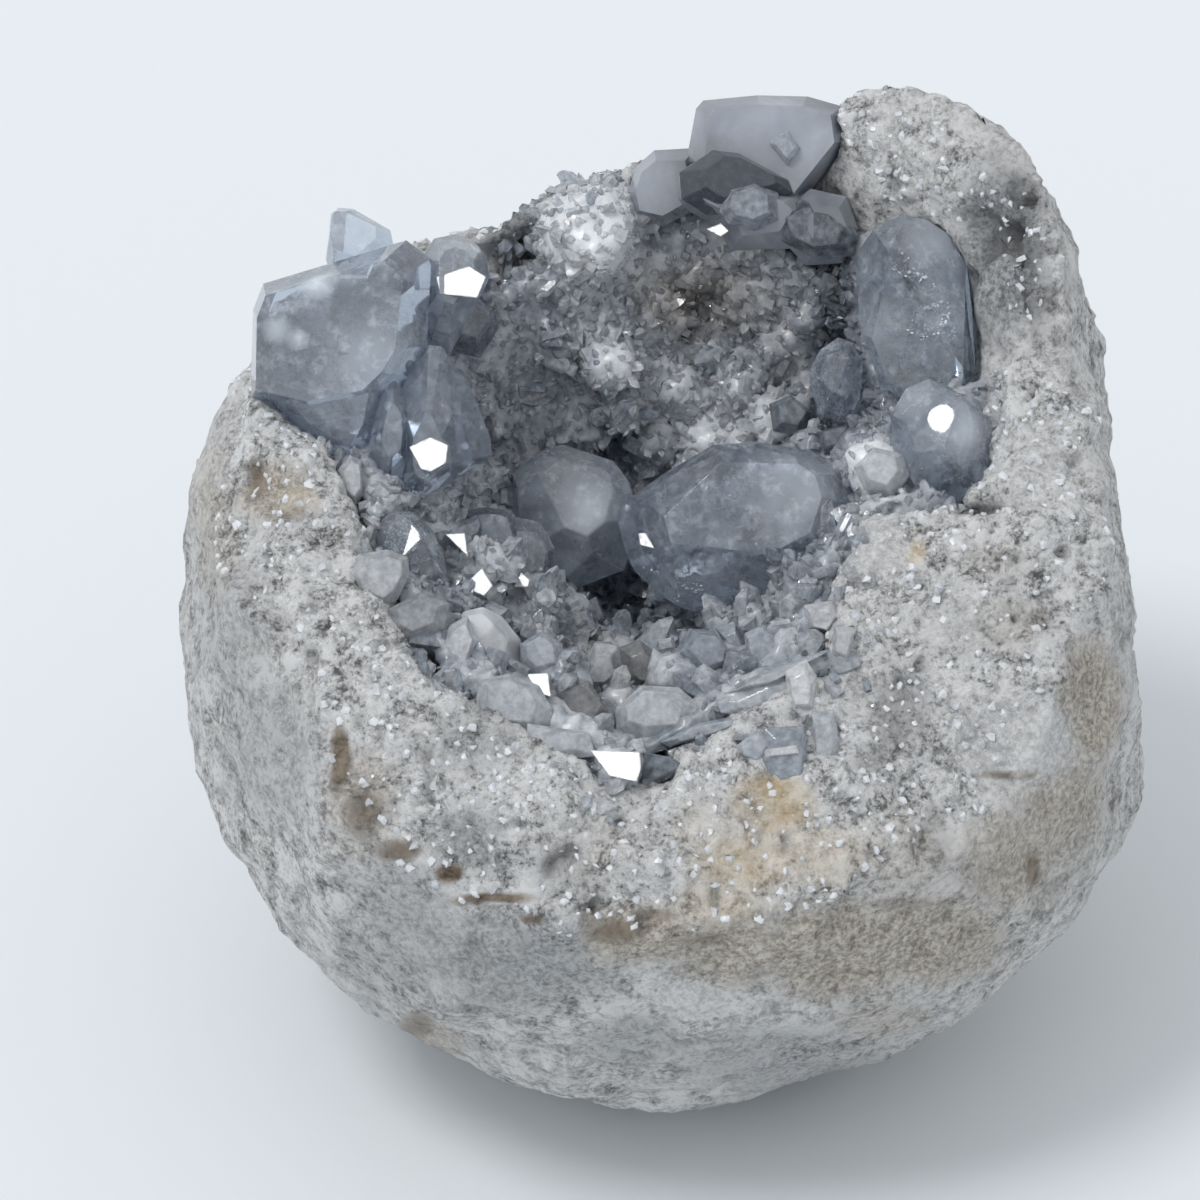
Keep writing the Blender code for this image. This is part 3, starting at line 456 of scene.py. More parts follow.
def mix(material, share, first, second, blend="MIX"):
    made = node(material, "ShaderNodeMix", data_type="RGBA", blend_type=blend)
    for index, value in ((0, share), (6, first), (7, second)):
        if isinstance(value, bpy.types.NodeSocket):
            material.node_tree.links.new(value, made.inputs[index])
        else:
            made.inputs[index].default_value = value
    return made.outputs[2]


def math_node(material, operation, first, second):
    made = node(material, "ShaderNodeMath", operation=operation)
    for index, value in enumerate((first, second)):
        if isinstance(value, bpy.types.NodeSocket):
            material.node_tree.links.new(value, made.inputs[index])
        else:
            made.inputs[index].default_value = value
    return made.outputs[0]


def attribute(material, name):
    return node(material, "ShaderNodeAttribute", attribute_name=name).outputs["Fac"]


def grey(value, warmth=0.0):
    return (value * (1.0 + warmth), value, value * (1.0 - warmth), 1.0)


def stained(material, colour, name, grit, dark, light, reach=0.55):
    """Colour where a patch attribute says so, broken up by the grit."""
    share = math_node(material, "ADD", attribute(material, name), math_node(material, "MULTIPLY", grit, reach))
    share = ramp(material, share, reach * 0.5 + 0.12, reach * 0.5 + 0.62)
    share = math_node(material, "MULTIPLY", share, ramp(material, attribute(material, name), 0.02, 0.25))
    return mix(material, share, colour, mix(material, ramp(material, grit, 0.38, 0.6), dark, light))


def rock_material():
    m = new_material("geode_rock")
    where = place(m)
    weathered = attribute(m, "weathered")
    broad = noise(m, where, 14.0, 3.0)
    crumb = noise(m, where, 2.6, 9.0, 0.78, 0.3)
    grit = noise(m, where, 0.55, 5.0, 0.75)
    relief = math_node(m, "ADD", math_node(m, "MULTIPLY", crumb, 0.6), math_node(m, "MULTIPLY", grit, 0.4))
    # The relief's low spots, which the bump also sinks, run to near black: partly the grain's own tone, partly
    # painted shade in the crevices
    white = mix(m, ramp(m, relief, 0.41, 0.485), grey(0.15), grey(0.72))
    white = mix(m, ramp(m, relief, 0.485, 0.54), white, grey(0.97))
    skin = mix(m, ramp(m, relief, 0.41, 0.485), grey(0.15), grey(0.60, 0.01))
    skin = mix(m, ramp(m, relief, 0.485, 0.55), skin, grey(0.93))
    skin = mix(m, ramp(m, broad, 0.42, 0.62, 0.0, 0.4), skin, grey(0.82, 0.01))
    colour = mix(m, weathered, white, skin)
    # grey: greys the rock in its patches, a painted shade on the back rim's inner wall
    colour = stained(m, colour, "grey", grit, grey(0.20, -0.03), grey(0.62, -0.02), 0.7)
    colour = stained(m, colour, "tan", grit, (0.28, 0.235, 0.19, 1.0), (0.80, 0.745, 0.67, 1.0), 0.8)
    colour = stained(m, colour, "rust", crumb, (0.66, 0.50, 0.30, 1.0), (0.95, 0.87, 0.75, 1.0), 0.7)
    colour = stained(m, colour, "white", grit, grey(0.62), grey(0.95), 0.5)
    colour = stained(m, colour, "brown", crumb, (0.10, 0.075, 0.05, 1.0), (0.40, 0.33, 0.26, 1.0), 0.7)
    # pits, holes and vugs run to near black: painted shade in the recesses
    colour = mix(m, ramp(m, attribute(m, "painted_pit_shade"), 0.0, 1.0, 0.0, 0.85), colour, grey(0.09, -0.05))
    bump = node(m, "ShaderNodeBump", {"Height": relief, "Strength": 1.0, "Distance": 1.1 * MM})
    shader = node(m, "ShaderNodeBsdfPrincipled", {
        "Base Color": colour,
        "Roughness": ramp(m, grit, 0.35, 0.65, 0.42, 0.75),
        "Normal": bump.outputs[0],
        "IOR": 1.5,
    })
    return finish_material(m, shader)


SOLID_SHADES = ((0.045, 0.055, 0.07, 1.0), (0.27, 0.30, 0.345, 1.0), (0.86, 0.88, 0.91, 1.0))
CLEAR_SHADES = ((0.10, 0.12, 0.15, 1.0), (0.50, 0.55, 0.62, 1.0), (0.95, 0.96, 0.98, 1.0))


def druse_material(name, clearness, roughness, shades=SOLID_SHADES):
    """Small crystals and their crust: tone runs from dark to frosty, and warm turns it brownish."""
    m = new_material(name)
    where = place(m)
    tone = math_node(m, "ADD", attribute(m, "tone"), ramp(m, noise(m, where, 0.9, 4.0), 0.3, 0.7, -0.16, 0.16))
    low, middle, high = shades
    dark = mix(m, ramp(m, tone, 0.0, 0.42), low, middle)
    colour = mix(m, ramp(m, tone, 0.42, 1.0), dark, high)
    colour = mix(m, attribute(m, "warm"), colour, (0.62, 0.55, 0.47, 1.0), "MULTIPLY")
    bump = node(m, "ShaderNodeBump", {"Height": noise(m, where, 0.4, 3.0), "Strength": 0.35, "Distance": 0.12 * MM})
    shader = node(m, "ShaderNodeBsdfPrincipled", {
        "Base Color": colour,
        "Roughness": roughness,
        "IOR": 1.62,
        "Transmission Weight": ramp(m, noise(m, where, 0.7, 3.0), 0.35, 0.65, clearness, clearness * 0.6),
        "Normal": bump.outputs[0],
    })
    return finish_material(m, shader)


def crystal_material(name, tint, milk, absorbed, density, clouds=(), roughness=(0.02, 0.10), streak=0.25):
    """Clear crystal: transmission, IOR and absorption, with diffuse milk that thickens in clouds."""
    m = new_material(name)
    where = place(m)
    soft = noise(m, where, 6.0, 3.0, 0.5, 0.8)
    fine = noise(m, where, 1.3, 5.0, 0.65)
    share = ramp(m, soft, 0.35, 0.68, milk[0], milk[1])
    share = math_node(m, "ADD", share, ramp(m, fine, 0.5, 0.75, 0.0, streak))
    for centre, reach, strength in clouds:
        away = node(m, "ShaderNodeVectorMath", operation="DISTANCE")
        m.node_tree.links.new(where, away.inputs[0])
        away.inputs[1].default_value = centre
        share = math_node(m, "ADD", share, ramp(m, away.outputs["Value"], reach, 0.0, 0.0, strength))
    clear = ramp(m, share, 0.0, 1.0, 1.0, 0.0)
    bump = node(m, "ShaderNodeBump", {"Height": noise(m, where, 3.0, 2.0, 0.5), "Strength": 0.1,
                                      "Distance": 0.12 * MM})
    shader = node(m, "ShaderNodeBsdfPrincipled", {
        "Base Color": tint,
        "Roughness": ramp(m, noise(m, where, 2.4, 4.0), 0.4, 0.7, *roughness),
        "IOR": 1.62,
        "Transmission Weight": clear,
        "Normal": bump.outputs[0],
    })
    volume = node(m, "ShaderNodeVolumeAbsorption", {"Color": absorbed, "Density": density})
    return finish_material(m, shader, volume)


def veil_material():
    """Flakes of healed cracks, which catch the light inside the clear crystals."""
    m = new_material("crystal_veil")
    tone = noise(m, place(m), 1.0, 2.0)
    shader = node(m, "ShaderNodeBsdfPrincipled", {
        "Base Color": mix(m, tone, (0.45, 0.50, 0.58, 1.0), (0.85, 0.88, 0.92, 1.0)),
        "Roughness": 0.2,
        "Specular IOR Level": 0.8,
    })
    return finish_material(m, shader)


# Rock

def refined(thing, chosen):
    """Halves the edges of the chosen faces of a piece."""
    mesh = bmesh.new()
    mesh.from_mesh(thing.data)
    mesh.faces.ensure_lookup_table()
    edges = {edge for index in np.flatnonzero(chosen) for edge in mesh.faces[index].edges}
    bmesh.ops.subdivide_edges(mesh, edges=list(edges), cuts=1, use_grid_fill=True)
    mesh.to_mesh(thing.data)
    mesh.free()


def weathering(points):
    """How weathered the rock's skin is: 0 in the broken band and the hollow, 1 outside."""
    a, b, c = to_mouth(points)
    azimuth = np.degrees(np.arctan2(a, -b)) % 360.0
    polar = np.degrees(np.arctan2(np.hypot(a, b), c))
    edge = np.interp(azimuth, *np.array(BREAK_EDGE).T)
    ragged = layered(points, ((7.0, 1.0), (2.5, 0.6)), 5)
    return smooth(-2.5, 2.5, polar - edge + 4.0 * ragged) * smooth(32.0, 36.0, np.sqrt(a * a + b * b + c * c))


def fibres(points):
    """Ridges that run up the broken wall, about the mouth's axis."""
    a, b, c = to_mouth(points)
    round_axis = np.arctan2(a, -b) * 34.0
    up = np.degrees(np.arctan2(np.hypot(a, b), c)) * 0.7
    return value_noise(np.stack((round_axis, up * 0.16, np.hypot(a, b) * 0.05), axis=1) * MM, 0.9, 71)


def rock(crust_tree):
    thing = remeshed("rock", "rock_shell", 0.76)
    mesh = thing.data
    middles = np.empty(len(mesh.polygons) * 3)
    mesh.polygons.foreach_get("center", middles)
    middles = middles.reshape(-1, 3)
    broken = weathering(middles) < 0.6
    covered = np.array([crust_tree.find_nearest(Vector(middle), 1.2 * MM)[0] is not None if is_broken else False
                        for middle, is_broken in zip(middles, broken)])
    refined(thing, broken & ~covered)
    points, normals = vertices_of(mesh), vertices_of(mesh, "normal")
    x, y = to_pixels(points)
    _, _, d = to_seen(points)
    front = smooth(-28.0, -12.0, d)
    weathered = weathering(points)
    broken = 1.0 - weathered
    low = np.clip(points[:, 2] / (3.0 * MM), 0.0, 1.0)
    away, chance = grains(points, 1.3, 21)
    facets = ((chance - 0.5) * away).sum(axis=1) * 2.0 + (chance[:, 0] - 0.5) * 0.7
    fine_away, fine_chance = grains(points, 0.7, 22)
    fine_facets = ((fine_chance - 0.5) * fine_away).sum(axis=1) * 2.0 + (fine_chance[:, 0] - 0.5) * 0.7
    wall = fibres(points) * np.exp(-((x - 730.0) / 120.0) ** 2 - ((y - 800.0) / 60.0) ** 2)
    height = broken * (0.25 + 0.36 * facets + 0.22 * fine_facets + layered(points, ((4.5, 0.7), (1.8, 0.45)), 31))
    height += weathered * (layered(points, ((7.0, 0.45), (2.6, 0.30), (1.3, 0.22)), 41) + 0.2 * facets)
    height += 0.55 * wall * broken
    pits = smooth(0.5, 0.8, value_noise(points, 2.0, 61)) * (0.7 * broken + 0.35 * weathered)
    holes = front * patches(x, y, HOLES)
    vuggy = front * patches(x, y, ((1005, 250, 60, 90, 1.0),)) * smooth(0.1, 0.6, value_noise(points, 2.6, 63))
    height -= 1.0 * pits + 1.6 * holes * broken + 1.5 * vuggy
    move_vertices(mesh, points + normals * (height * low * MM)[:, None])
    add_attribute(mesh, "weathered", weathered)
    # how dark the pits, holes and vugs are painted: painted shade
    add_attribute(mesh, "painted_pit_shade", np.clip(0.7 * pits + 0.9 * holes * broken + 0.8 * vuggy, 0.0, 1.0))
    back = 0.45 * smooth(0.1, 0.7, value_noise(points, 24.0, 81)) * (1.0 - front) * weathered
    for name, rows in (("tan", TAN_PATCHES), ("rust", RUST_PATCHES), ("brown", BROWN_PATCHES),
                       ("white", WHITE_PATCHES), ("grey", GREY_PATCHES)):
        seen = front * patches(x, y, rows)
        add_attribute(mesh, name, seen + back if name == "tan" else seen)
    mesh.materials.clear()
    mesh.materials.append(rock_material())
    piece(thing, "geode_rock", "rock_shell")
    return thing


# Small crystals

def crystal_template(chance, sides):
    """Vertices and faces of a small pointed prism, one unit in radius, its root at minus one."""
    angles = sorted(math.tau * (side + chance.uniform(-0.3, 0.3)) / sides for side in range(sides))
    ring = [(math.cos(angle), math.sin(angle)) for angle in angles]
    shoulder = [chance.uniform(0.4, 1.0) for _ in range(sides)]
    tip_shift = (chance.uniform(-0.35, 0.35), chance.uniform(-0.35, 0.35))
    wide = chance.uniform(0.25, 0.6)
    top = chance.uniform(1.0, 1.5)
    points = [(x, y, -1.0) for x, y in ring]
    points += [(x, y, level) for (x, y), level in zip(ring, shoulder)]
    points += [(x * wide + tip_shift[0], y * 0.15 + tip_shift[1], top) for x, y in ring]
    faces = []
    for row in (0, sides):
        for side in range(sides):
            following = (side + 1) % sides
            faces.append((row + side, row + following, row + sides + following, row + sides + side))
    faces.append(tuple(range(2 * sides, 3 * sides)))
    faces.append(tuple(reversed(range(sides))))
    return np.array(points), faces


def scattered(name, rows, seed):
    """One mesh of small crystals from rows of point, axis, radius, length, tone and warmth."""
    chance = np.random.default_rng(seed)
    templates = [crystal_template(chance, sides) for sides in (4, 5, 4, 6, 4, 5)]
    all_points, all_faces, tones, warmths, start = [], [], [], [], 0
    for point, axis, radius, length, tone, warmth in rows:
        points, faces = templates[chance.integers(len(templates))]
        turn = axis.to_track_quat("Z", "Y").to_matrix() @ Matrix.Rotation(chance.uniform(0.0, math.tau), 3, "Z")
        shape = points * (radius, radius * chance.uniform(0.55, 1.0), length)
        all_points.append(shape @ np.array(turn).T + np.array(point))
        all_faces += [tuple(start + index for index in face) for face in faces]
        tones.append(np.full(len(points), tone))
        warmths.append(np.full(len(points), warmth))
        start += len(points)
    mesh = bpy.data.meshes.new(name)
    mesh.from_pydata(np.concatenate(all_points).tolist(), [], all_faces)
    mesh.update()
    add_attribute(mesh, "tone", np.concatenate(tones))
    add_attribute(mesh, "warm", np.concatenate(warmths))
    return new_object(name, mesh)


def surface_samples(mesh, count, seed, keep):
    """Seeded points on a mesh, as rows of point and normal, where keep(point, normal) holds."""
    chance = np.random.default_rng(seed)
    mesh.calc_loop_triangles()
    areas = np.array([triangle.area for triangle in mesh.loop_triangles])
    picks = chance.choice(len(areas), size=count, p=areas / areas.sum())
    found = []
    for pick, (first, second) in zip(picks, chance.uniform(0.0, 1.0, (count, 2))):
        triangle = mesh.loop_triangles[pick]
        if first + second > 1.0:
            first, second = 1.0 - first, 1.0 - second
        corners = [mesh.vertices[index].co for index in triangle.vertices]
        point = corners[0] * (1.0 - first - second) + corners[1] * first + corners[2] * second
        if keep(point, triangle.normal):
            found.append((point, triangle.normal.copy()))
    return found


def spaced(samples, spacing):
    """The samples that keep at least a spacing from the ones before them."""
    taken, grid = [], {}
    for point, normal in samples:
        key = tuple(int(part // spacing) for part in point)
        near = [grid.get((key[0] + x, key[1] + y, key[2] + z)) for x in (-1, 0, 1) for y in (-1, 0, 1)
                for z in (-1, 0, 1)]
        if any((point - other).length < spacing for group in near if group for other in group):
            continue
        grid.setdefault(key, []).append(point)
        taken.append((point, normal))
    return taken


def uncovered(samples):
    """The samples that no listed crystal covers."""
    hidden = under_hand_crystals(np.array([point for point, _ in samples]))
    return [sample for sample, is_hidden in zip(samples, hidden) if not is_hidden]


def outside_of(nodes):
    """A test of whether a point is outside the given nodes and off their surface."""
    trees = [tree_of(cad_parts[name].data) for name in nodes]

    def test(point, margin):
        for tree in trees:
            place, normal, _, distance = tree.find_nearest(point)
            if distance < margin or (point - place).dot(normal) < 0.0:
                return False
        return True
    return test


def tones_at(points):
    """Tone and warmth of the druse, from where it shows in the photograph."""
    x, y = to_pixels(points)
    tone = 0.56 + 0.16 * layered(points, ((5.0, 1.0), (2.0, 0.6)), 91)
    # the druse is lowered in tone in its dips: painted shade
    tone += 0.50 * patches(x, y, FROSTY_LUMPS) - 0.42 * patches(x, y, DRUSE_DIPS_AND_PAINTED_SHADE)
    return tone, patches(x, y, WARM_DRUSE)


def druse(clear):
    base = remeshed("druse_base", "crystal_crust", 0.5)
    mesh = base.data
    points, normals = vertices_of(mesh), vertices_of(mesh, "normal")
    x, y = to_pixels(points)
    away, chance = grains(points, 1.1, 77)
    facets = ((chance - 0.5) * away).sum(axis=1) * 2.0 + (chance[:, 0] - 0.5) * 0.8
    lumps = layered(points, ((5.0, 0.55), (2.5, 0.35)), 91) + 1.6 * patches(x, y, FROSTY_LUMPS)
    lumps -= 1.2 * patches(x, y, DRUSE_DIPS_AND_PAINTED_SHADE)
    move_vertices(mesh, points + normals * ((0.2 + 0.4 * facets + lumps) * MM)[:, None])
    tone, warm = tones_at(points)
    add_attribute(mesh, "tone", tone - 0.06 + 0.15 * chance[:, 1])
    add_attribute(mesh, "warm", warm)
    mesh.materials.clear()
    mesh.materials.append(druse_material("druse_base", 0.1, 0.25))
    piece(base, "druse", "crystal_crust")

    def inward(point, normal):
        return normal.dot(MOUTH_AXIS) > -0.2 and clear(point, 0.3 * MM)

    samples = uncovered(spaced(surface_samples(mesh, 30000, 3, inward), 0.74 * MM))
    tone, warm = tones_at(np.array([point for point, _ in samples]))
    _, y = to_pixels(np.array([point for point, _ in samples]))
    chance = np.random.default_rng(8)
    rows = []
    for (point, normal), own_tone, own_warm, down in zip(samples, tone, warm, y):
        tilt = Vector(chance.uniform(-0.8, 0.8, 3))
        large = 0.35 + 0.35 * min(1.0, max(0.0, (down - 480.0) / 160.0))
        radius = (0.30 + large * 1.5 * chance.random() ** 3) * MM
        rows.append((point, (normal + tilt).normalized(), radius, radius * chance.uniform(0.8, 1.6),
                     own_tone + chance.uniform(-0.16, 0.22), own_warm))
    crystals = scattered("druse_crystals", rows, 9)
    crystals.data.materials.append(druse_material("druse_crystal", 0.7, 0.07, CLEAR_SHADES))
    piece(crystals, "druse")
    return base


def rim_crystals(rock_thing, crust_tree, clear):
    """Grains on the broken band: blue-grey and large beside the druse, white and fine further out."""
    def broken(point, normal):
        return broken_at(point) and normal.dot(MOUTH_AXIS) > -0.3 and clear(point, 0.2 * MM)

    mesh = rock_thing.data
    weathered = np.empty(len(mesh.vertices), np.float32)
    mesh.attributes["weathered"].data.foreach_get("value", weathered)
    tree = KDTree(len(mesh.vertices))
    for index, vertex in enumerate(mesh.vertices):
        tree.insert(vertex.co, index)
    tree.balance()

    def broken_at(point):
        return weathered[tree.find(point)[1]] < 0.35

    samples = uncovered(spaced(surface_samples(mesh, 24000, 13, broken), 0.7 * MM))
    chance = np.random.default_rng(18)
    grains_rows, broken_rows = [], []
    for point, normal in samples:
        _, _, _, distance = crust_tree.find_nearest(point)
        near = 1.0 - min(1.0, distance / (5.0 * MM))
        axis = (normal + Vector(chance.uniform(-0.9, 0.9, 3))).normalized()
        if chance.random() < 0.75 * near:
            radius = (0.35 + 1.1 * near * chance.random() ** 2) * MM
            broken_rows.append((point, axis, radius, radius * chance.uniform(0.6, 1.8),
                                chance.uniform(0.45, 1.0) - 0.2 * near, 0.0))
        elif chance.random() < 0.6:
            radius = chance.uniform(0.22, 0.5) * MM
            grains_rows.append((point - normal * radius * 0.3, axis, radius, radius * chance.uniform(0.4, 0.9),
                                chance.uniform(0.75, 1.2), 0.0))
    grain_piece = scattered("rim_grains", grains_rows, 19)
    grain_piece.data.materials.append(druse_material("rim_grain", 0.15, 0.3))
    piece(grain_piece, "geode_rock")
    broken_piece = scattered("rim_crystals", broken_rows, 20)
    broken_piece.data.materials.append(druse_material("rim_crystal", 0.7, 0.08, CLEAR_SHADES))
    piece(broken_piece, "druse")


def hand_crystals(tree):
    """Flat-faced crystals from their outlines, each seated where its middle shows."""
    joined = bmesh.new()
    tones, warmths = [], []
    for outline, rise, lean, tone, warmth, is_mirror in HAND_CRYSTALS:
        middle_x = sum(corner[0] for corner in outline) / len(outline)
        middle_y = sum(corner[1] for corner in outline) / len(outline)
        seats = [seen_point(tree, x, y)[0] for x, y in outline + ((middle_x, middle_y),)]
        depths = to_seen(np.array([seat for seat in seats if seat]))[2]
        level = float(np.median(depths))
        own = bmesh.new()
        for x, y in outline:
            own.verts.new(at_depth(x, y, level - 1.2))
            if not is_mirror:
                own.verts.new(at_depth(x, y, level + 0.25 * rise))
        for x, y in outline:
            top = at_depth(middle_x + 0.62 * (x - middle_x) + lean[0], middle_y + 0.62 * (y - middle_y) + lean[1],
                           level + rise)
            if is_mirror:
                top = on_mirror(at_depth(middle_x, middle_y, max(depths) + rise), x, y)
            own.verts.new(top)
        made = bmesh.ops.convex_hull(own, input=own.verts[:])
        bmesh.ops.delete(own, geom=[item for item in made["geom_interior"] if isinstance(item, bmesh.types.BMVert)],
                         context="VERTS")
        bmesh.ops.dissolve_limit(own, angle_limit=math.radians(2.0), verts=own.verts[:], edges=own.edges[:])
        bmesh.ops.bevel(own, geom=own.edges[:], offset=0.07 * MM, segments=1, affect="EDGES", clamp_overlap=True)
        bmesh.ops.recalc_face_normals(own, faces=own.faces[:])
        piece_mesh = bpy.data.meshes.new("crystal")
        own.to_mesh(piece_mesh)
        own.free()
        before = len(joined.verts)
        joined.from_mesh(piece_mesh)
        tones += [tone] * (len(joined.verts) - before)
        warmths += [warmth] * (len(joined.verts) - before)
    mesh = bpy.data.meshes.new("set_crystals")
    joined.to_mesh(mesh)
    joined.free()
    # the tone holds the near-white mirror tops, a painted highlight, and the dark side of the bright crystal,
    # painted shade
    add_attribute(mesh, "tone", np.array(tones))
    add_attribute(mesh, "warm", np.array(warmths))
    mesh.materials.append(druse_material("set_crystal", 0.6, 0.06, CLEAR_SHADES))
    piece(new_object("set_crystals", mesh), "druse")


def on_mirror(point, x, y):
    """Where a pixel's line of sight meets the plane through a point that mirrors the sun to the camera."""
    start = camera_place()
    facing = ((start - point).normalized() + SUN_WAY).normalized()
    way = pixel_way(x, y)
    return start + way * ((point - start).dot(facing) / way.dot(facing))


# Large crystals

def cut_faces(mesh, tree, cuts):
    for x, y, depth, facing in cuts:
        place, _ = seen_point(tree, x, y)
        if place is None:
            continue
        way = seen_way(*facing)
        cut = bmesh.ops.bisect_plane(mesh, geom=mesh.verts[:] + mesh.edges[:] + mesh.faces[:],
                                     plane_co=place - way * depth * MM, plane_no=way, clear_outer=True)
        rim = [item for item in cut["geom_cut"] if isinstance(item, bmesh.types.BMEdge)]
        bmesh.ops.contextual_create(mesh, geom=rim)


def dressed_crystal(node_name, material, bevel, slot="celestite"):
    thing = new_object("clear_" + node_name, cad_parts[node_name].data.copy())
    mesh = bmesh.new()
    mesh.from_mesh(thing.data)
    bmesh.ops.remove_doubles(mesh, verts=mesh.verts[:], dist=0.02 * MM)
    bmesh.ops.dissolve_limit(mesh, angle_limit=math.radians(1.5), verts=mesh.verts[:], edges=mesh.edges[:])
    if node_name in CUTS:
        cut_faces(mesh, BVHTree.FromBMesh(mesh), CUTS[node_name])
        bmesh.ops.dissolve_limit(mesh, angle_limit=math.radians(1.5), verts=mesh.verts[:], edges=mesh.edges[:])
    mesh.to_mesh(thing.data)
    mesh.free()
    modifier = thing.modifiers.new("Bevel", "BEVEL")
    modifier.width = bevel * MM
    modifier.segments = 2
    modifier.limit_method = "ANGLE"
    modifier.angle_limit = math.radians(8.0)
    modifier.harden_normals = False
    applied(thing)
    thing.data.materials.clear()
    thing.data.materials.append(material)
    piece(thing, slot, node_name)
    return thing


def veils(node_name, tree, planes, chance):
    """Rows of flakes along a few planes inside a crystal."""
    low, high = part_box(node_name)
    low, high = Vector(low), Vector(high)
    rows = []
    for _ in range(planes):
        middle = Vector([chance.uniform(first, last) for first, last in zip(low, high)])
        across = Vector(chance.normal(size=3)).normalized()
        first = across.orthogonal().normalized()
        second = across.cross(first)
        reach = chance.uniform(1.2, 3.2) * MM
        for _ in range(110):
            angle, far = chance.uniform(0.0, math.tau), reach * chance.random() ** 0.7
            bend = across * (far * far / reach) * 0.3
            point = middle + first * math.cos(angle) * far + second * math.sin(angle) * far * 0.6 + bend
            place, normal, _, distance = tree.find_nearest(point)
            if distance < 0.6 * MM or (point - place).dot(normal) > 0.0:
                continue
            axis = (across + Vector(chance.uniform(-0.4, 0.4, 3))).normalized()
            radius = chance.uniform(0.04, 0.17) * MM
            rows.append((point, axis, radius, radius * 0.2, 1.0, 0.0))
    return rows


def cloud(tree, x, y, reach, strength):
    """A milky cloud just under the surface that shows at a pixel."""
    place, _ = seen_point(tree, x, y)
    return tuple(place + pixel_way(x, y) * 0.3 * reach * MM), reach * MM, strength


def large_crystals(tree):
    tint = (0.80, 0.86, 0.94, 1.0)
    left_clouds = [cloud(tree, x, y, reach, strength) for x, y, reach, strength in (
        (385, 355, 6.0, 0.25), (350, 385, 6.0, 0.12), (318, 282, 2.0, 0.6), (298, 340, 1.2, 0.5),
        (278, 330, 1.6, 0.5), (460, 255, 4.0, 0.2), (440, 330, 4.0, 0.2), (360, 225, 6.0, 0.3))]
    front_clouds = [cloud(tree, x, y, reach, strength) for x, y, reach, strength in (
        (810, 500, 6.5, 0.25), (770, 580, 5.0, 0.15), (700, 590, 4.0, 0.15), (828, 540, 3.5, 0.5))]
    blade_clouds = [cloud(tree, x, y, reach, strength) for x, y, reach, strength in (
        (935, 245, 4.0, 0.35), (955, 300, 4.0, 0.25), (870, 330, 4.0, 0.2), (930, 390, 4.0, 0.25))]
    block_clouds = [cloud(tree, x, y, reach, strength) for x, y, reach, strength in (
        (965, 430, 3.5, 0.5), (920, 400, 3.0, 0.3))]
    middle_clouds = [cloud(tree, x, y, reach, strength) for x, y, reach, strength in (
        (590, 510, 4.0, 0.35), (560, 570, 4.0, 0.3))]
    back_clouds = [cloud(tree, x, y, reach, strength) for x, y, reach, strength in (
        (770, 120, 6.0, 0.35), (700, 120, 4.0, 0.3), (650, 175, 4.0, 0.3), (820, 150, 4.0, 0.35),
        (770, 200, 3.0, 0.2))]
    kinds = {
        "left_crystal_group": crystal_material("celestite_left", tint, (0.08, 0.18), (0.58, 0.645, 0.73, 1.0), 60.0,
                                               left_clouds),
        "front_crystal": crystal_material("celestite_front", tint, (0.07, 0.20), (0.57, 0.64, 0.73, 1.0), 60.0,
                                          front_clouds),
        "middle_crystal": crystal_material("celestite_middle", tint, (0.14, 0.30), (0.58, 0.645, 0.73, 1.0), 40.0,
                                           middle_clouds),
        "blade_crystal": crystal_material("celestite_blade", tint, (0.06, 0.16), (0.56, 0.64, 0.73, 1.0), 70.0,
                                          blade_clouds),
        "block_crystal": crystal_material("celestite_block", tint, (0.06, 0.18), (0.55, 0.64, 0.74, 1.0), 60.0,
                                          block_clouds),
        "back_crystal_group": crystal_material("celestite_back", (0.44, 0.47, 0.53, 1.0), (0.42, 0.6),
                                               (0.46, 0.53, 0.62, 1.0), 200.0, back_clouds, streak=0.08),
        "small": crystal_material("celestite_small", tint, (0.08, 0.22), (0.55, 0.64, 0.74, 1.0), 60.0),
    }
    chance = np.random.default_rng(44)
    rows = []
    for name in ("left_crystal_group", "front_crystal", "middle_crystal", "blade_crystal", "block_crystal",
                 "round_crystal", "back_crystal_group", "egg_crystal", "upright_crystal_pair"):
        dressed_crystal(name, kinds.get(name, kinds["small"]), 0.16)
        low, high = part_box(name)
        size = (Vector(high) - Vector(low)).length / MM
        rows += veils(name, tree_of(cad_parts[name].data), max(3, int(size * 0.7)), chance)
    white = crystal_material("celestite_white", (0.88, 0.90, 0.93, 1.0), (0.45, 0.75), (0.8, 0.85, 0.9, 1.0), 40.0,
                             roughness=(0.08, 0.3))
    dressed_crystal("broken_white_crystal", white, 0.2, "white_celestite")
    flakes = scattered("crystal_veils", rows, 45)
    flakes.data.materials.append(veil_material())
    piece(flakes, "celestite")


# Stage

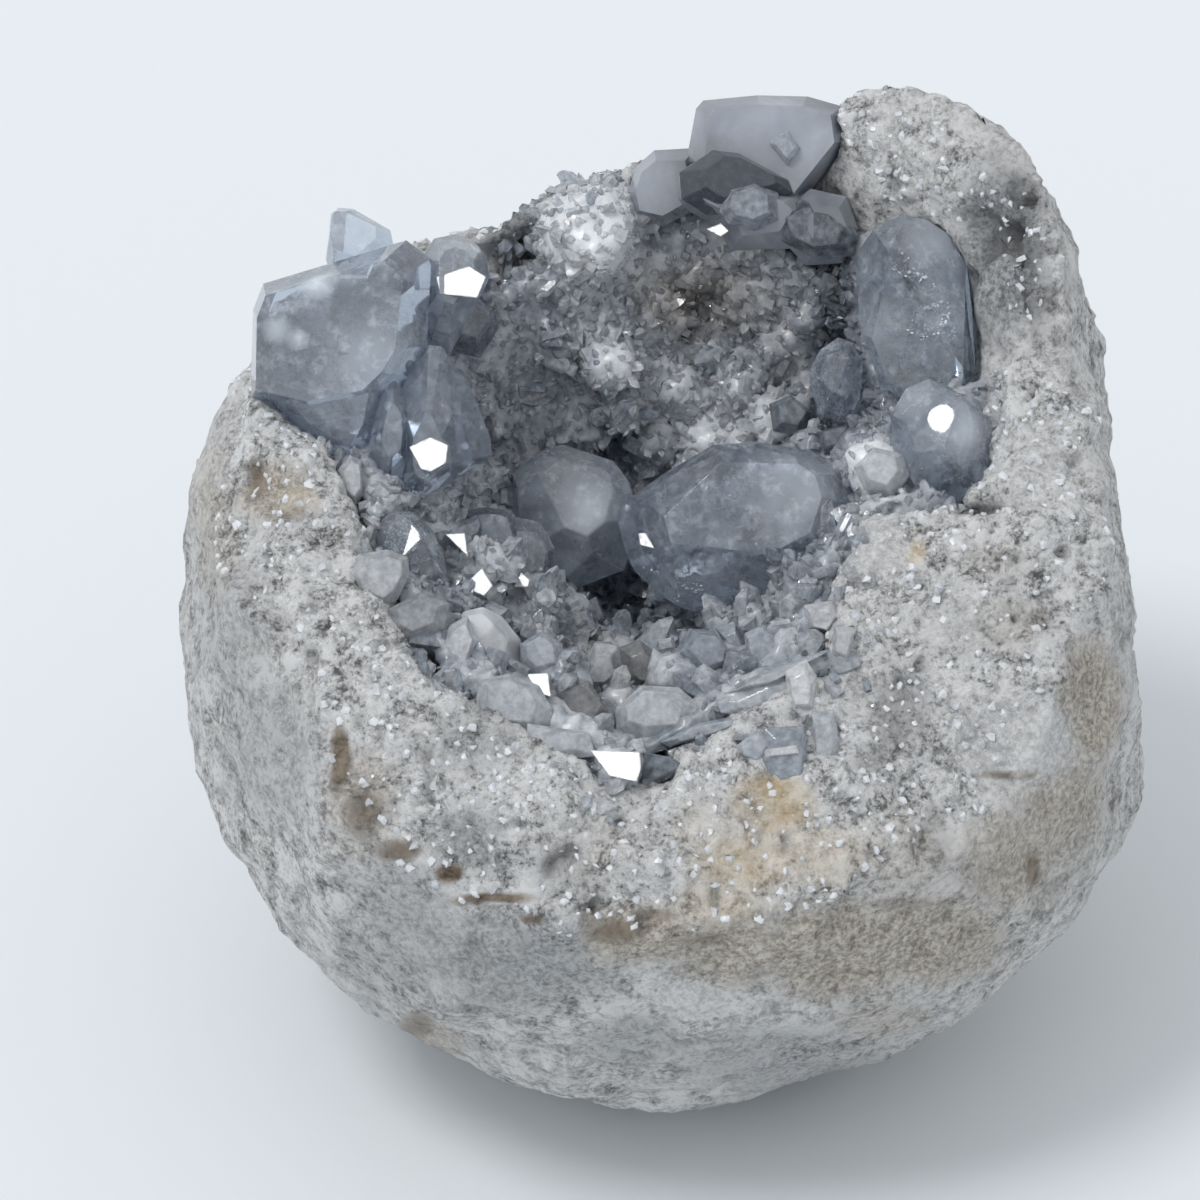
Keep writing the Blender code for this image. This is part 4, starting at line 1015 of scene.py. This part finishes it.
def floor():
    mesh = bpy.data.meshes.new("floor")
    half = 3.0
    mesh.from_pydata([(-half, -half, 0), (half, -half, 0), (half, half, 0), (-half, half, 0)], [], [(0, 1, 2, 3)])
    m = new_material("floor")
    tone = noise(m, place(m), 400.0, 2.0)
    colour = mix(m, tone, (0.80, 0.835, 0.86, 1.0), (0.81, 0.845, 0.87, 1.0))
    mesh.materials.append(finish_material(m, node(m, "ShaderNodeBsdfPrincipled", {
        "Base Color": colour, "Roughness": 0.9, "Specular IOR Level": 0.1})))
    new_object("floor", mesh)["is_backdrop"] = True


def lights():
    world = bpy.data.worlds.new("studio")
    world.use_nodes = True
    tree = world.node_tree
    background = tree.nodes["Background"]
    background.inputs["Color"].default_value = (0.95, 0.975, 1.0, 1.0)
    way = tree.nodes.new("ShaderNodeTexCoord").outputs["Generated"]
    along = tree.nodes.new("ShaderNodeVectorMath")
    along.operation = "DOT_PRODUCT"
    along.inputs[1].default_value = (-0.40, -0.20, 0.89)
    tree.links.new(way, along.inputs[0])
    strength = tree.nodes.new("ShaderNodeMapRange")
    strength.inputs["From Min"].default_value = -0.3
    strength.inputs["From Max"].default_value = 1.0
    strength.inputs["To Min"].default_value = 0.55
    strength.inputs["To Max"].default_value = 0.85
    tree.links.new(along.outputs["Value"], strength.inputs["Value"])
    tree.links.new(strength.outputs["Result"], background.inputs["Strength"])
    bpy.context.scene.world = world
    data = bpy.data.lights.new("sun", "SUN")
    data.energy = SUN_STRENGTH
    data.angle = SUN_WIDTH
    thing = bpy.data.objects.new("sun", data)
    thing.rotation_euler = SUN_WAY.to_track_quat("Z", "Y").to_euler()
    bpy.context.scene.collection.objects.link(thing)
    bpy.context.scene.view_settings.view_transform = "Standard"


CRYSTALS = ("left_crystal_group", "front_crystal", "middle_crystal", "blade_crystal", "block_crystal",
            "round_crystal", "back_crystal_group", "egg_crystal", "upright_crystal_pair", "broken_white_crystal")

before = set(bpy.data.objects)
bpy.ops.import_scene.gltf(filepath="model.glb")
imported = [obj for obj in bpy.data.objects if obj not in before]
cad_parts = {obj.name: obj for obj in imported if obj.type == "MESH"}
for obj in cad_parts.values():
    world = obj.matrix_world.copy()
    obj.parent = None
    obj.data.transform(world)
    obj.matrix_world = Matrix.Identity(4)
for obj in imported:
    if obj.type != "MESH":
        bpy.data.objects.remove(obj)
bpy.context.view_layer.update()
camera()
lights()
floor()
crust = tree_of(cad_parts["crystal_crust"].data)
rock_piece = rock(crust)
is_clear = outside_of(CRYSTALS)
druse_piece = druse(is_clear)
rim_crystals(rock_piece, crust, is_clear)
large_crystals(tree_of(*(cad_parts[name].data for name in CRYSTALS)))
dressed = [thing.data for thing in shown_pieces() if thing.name.startswith("clear_")]
hand_crystals(tree_of(rock_piece.data, druse_piece.data, *dressed))
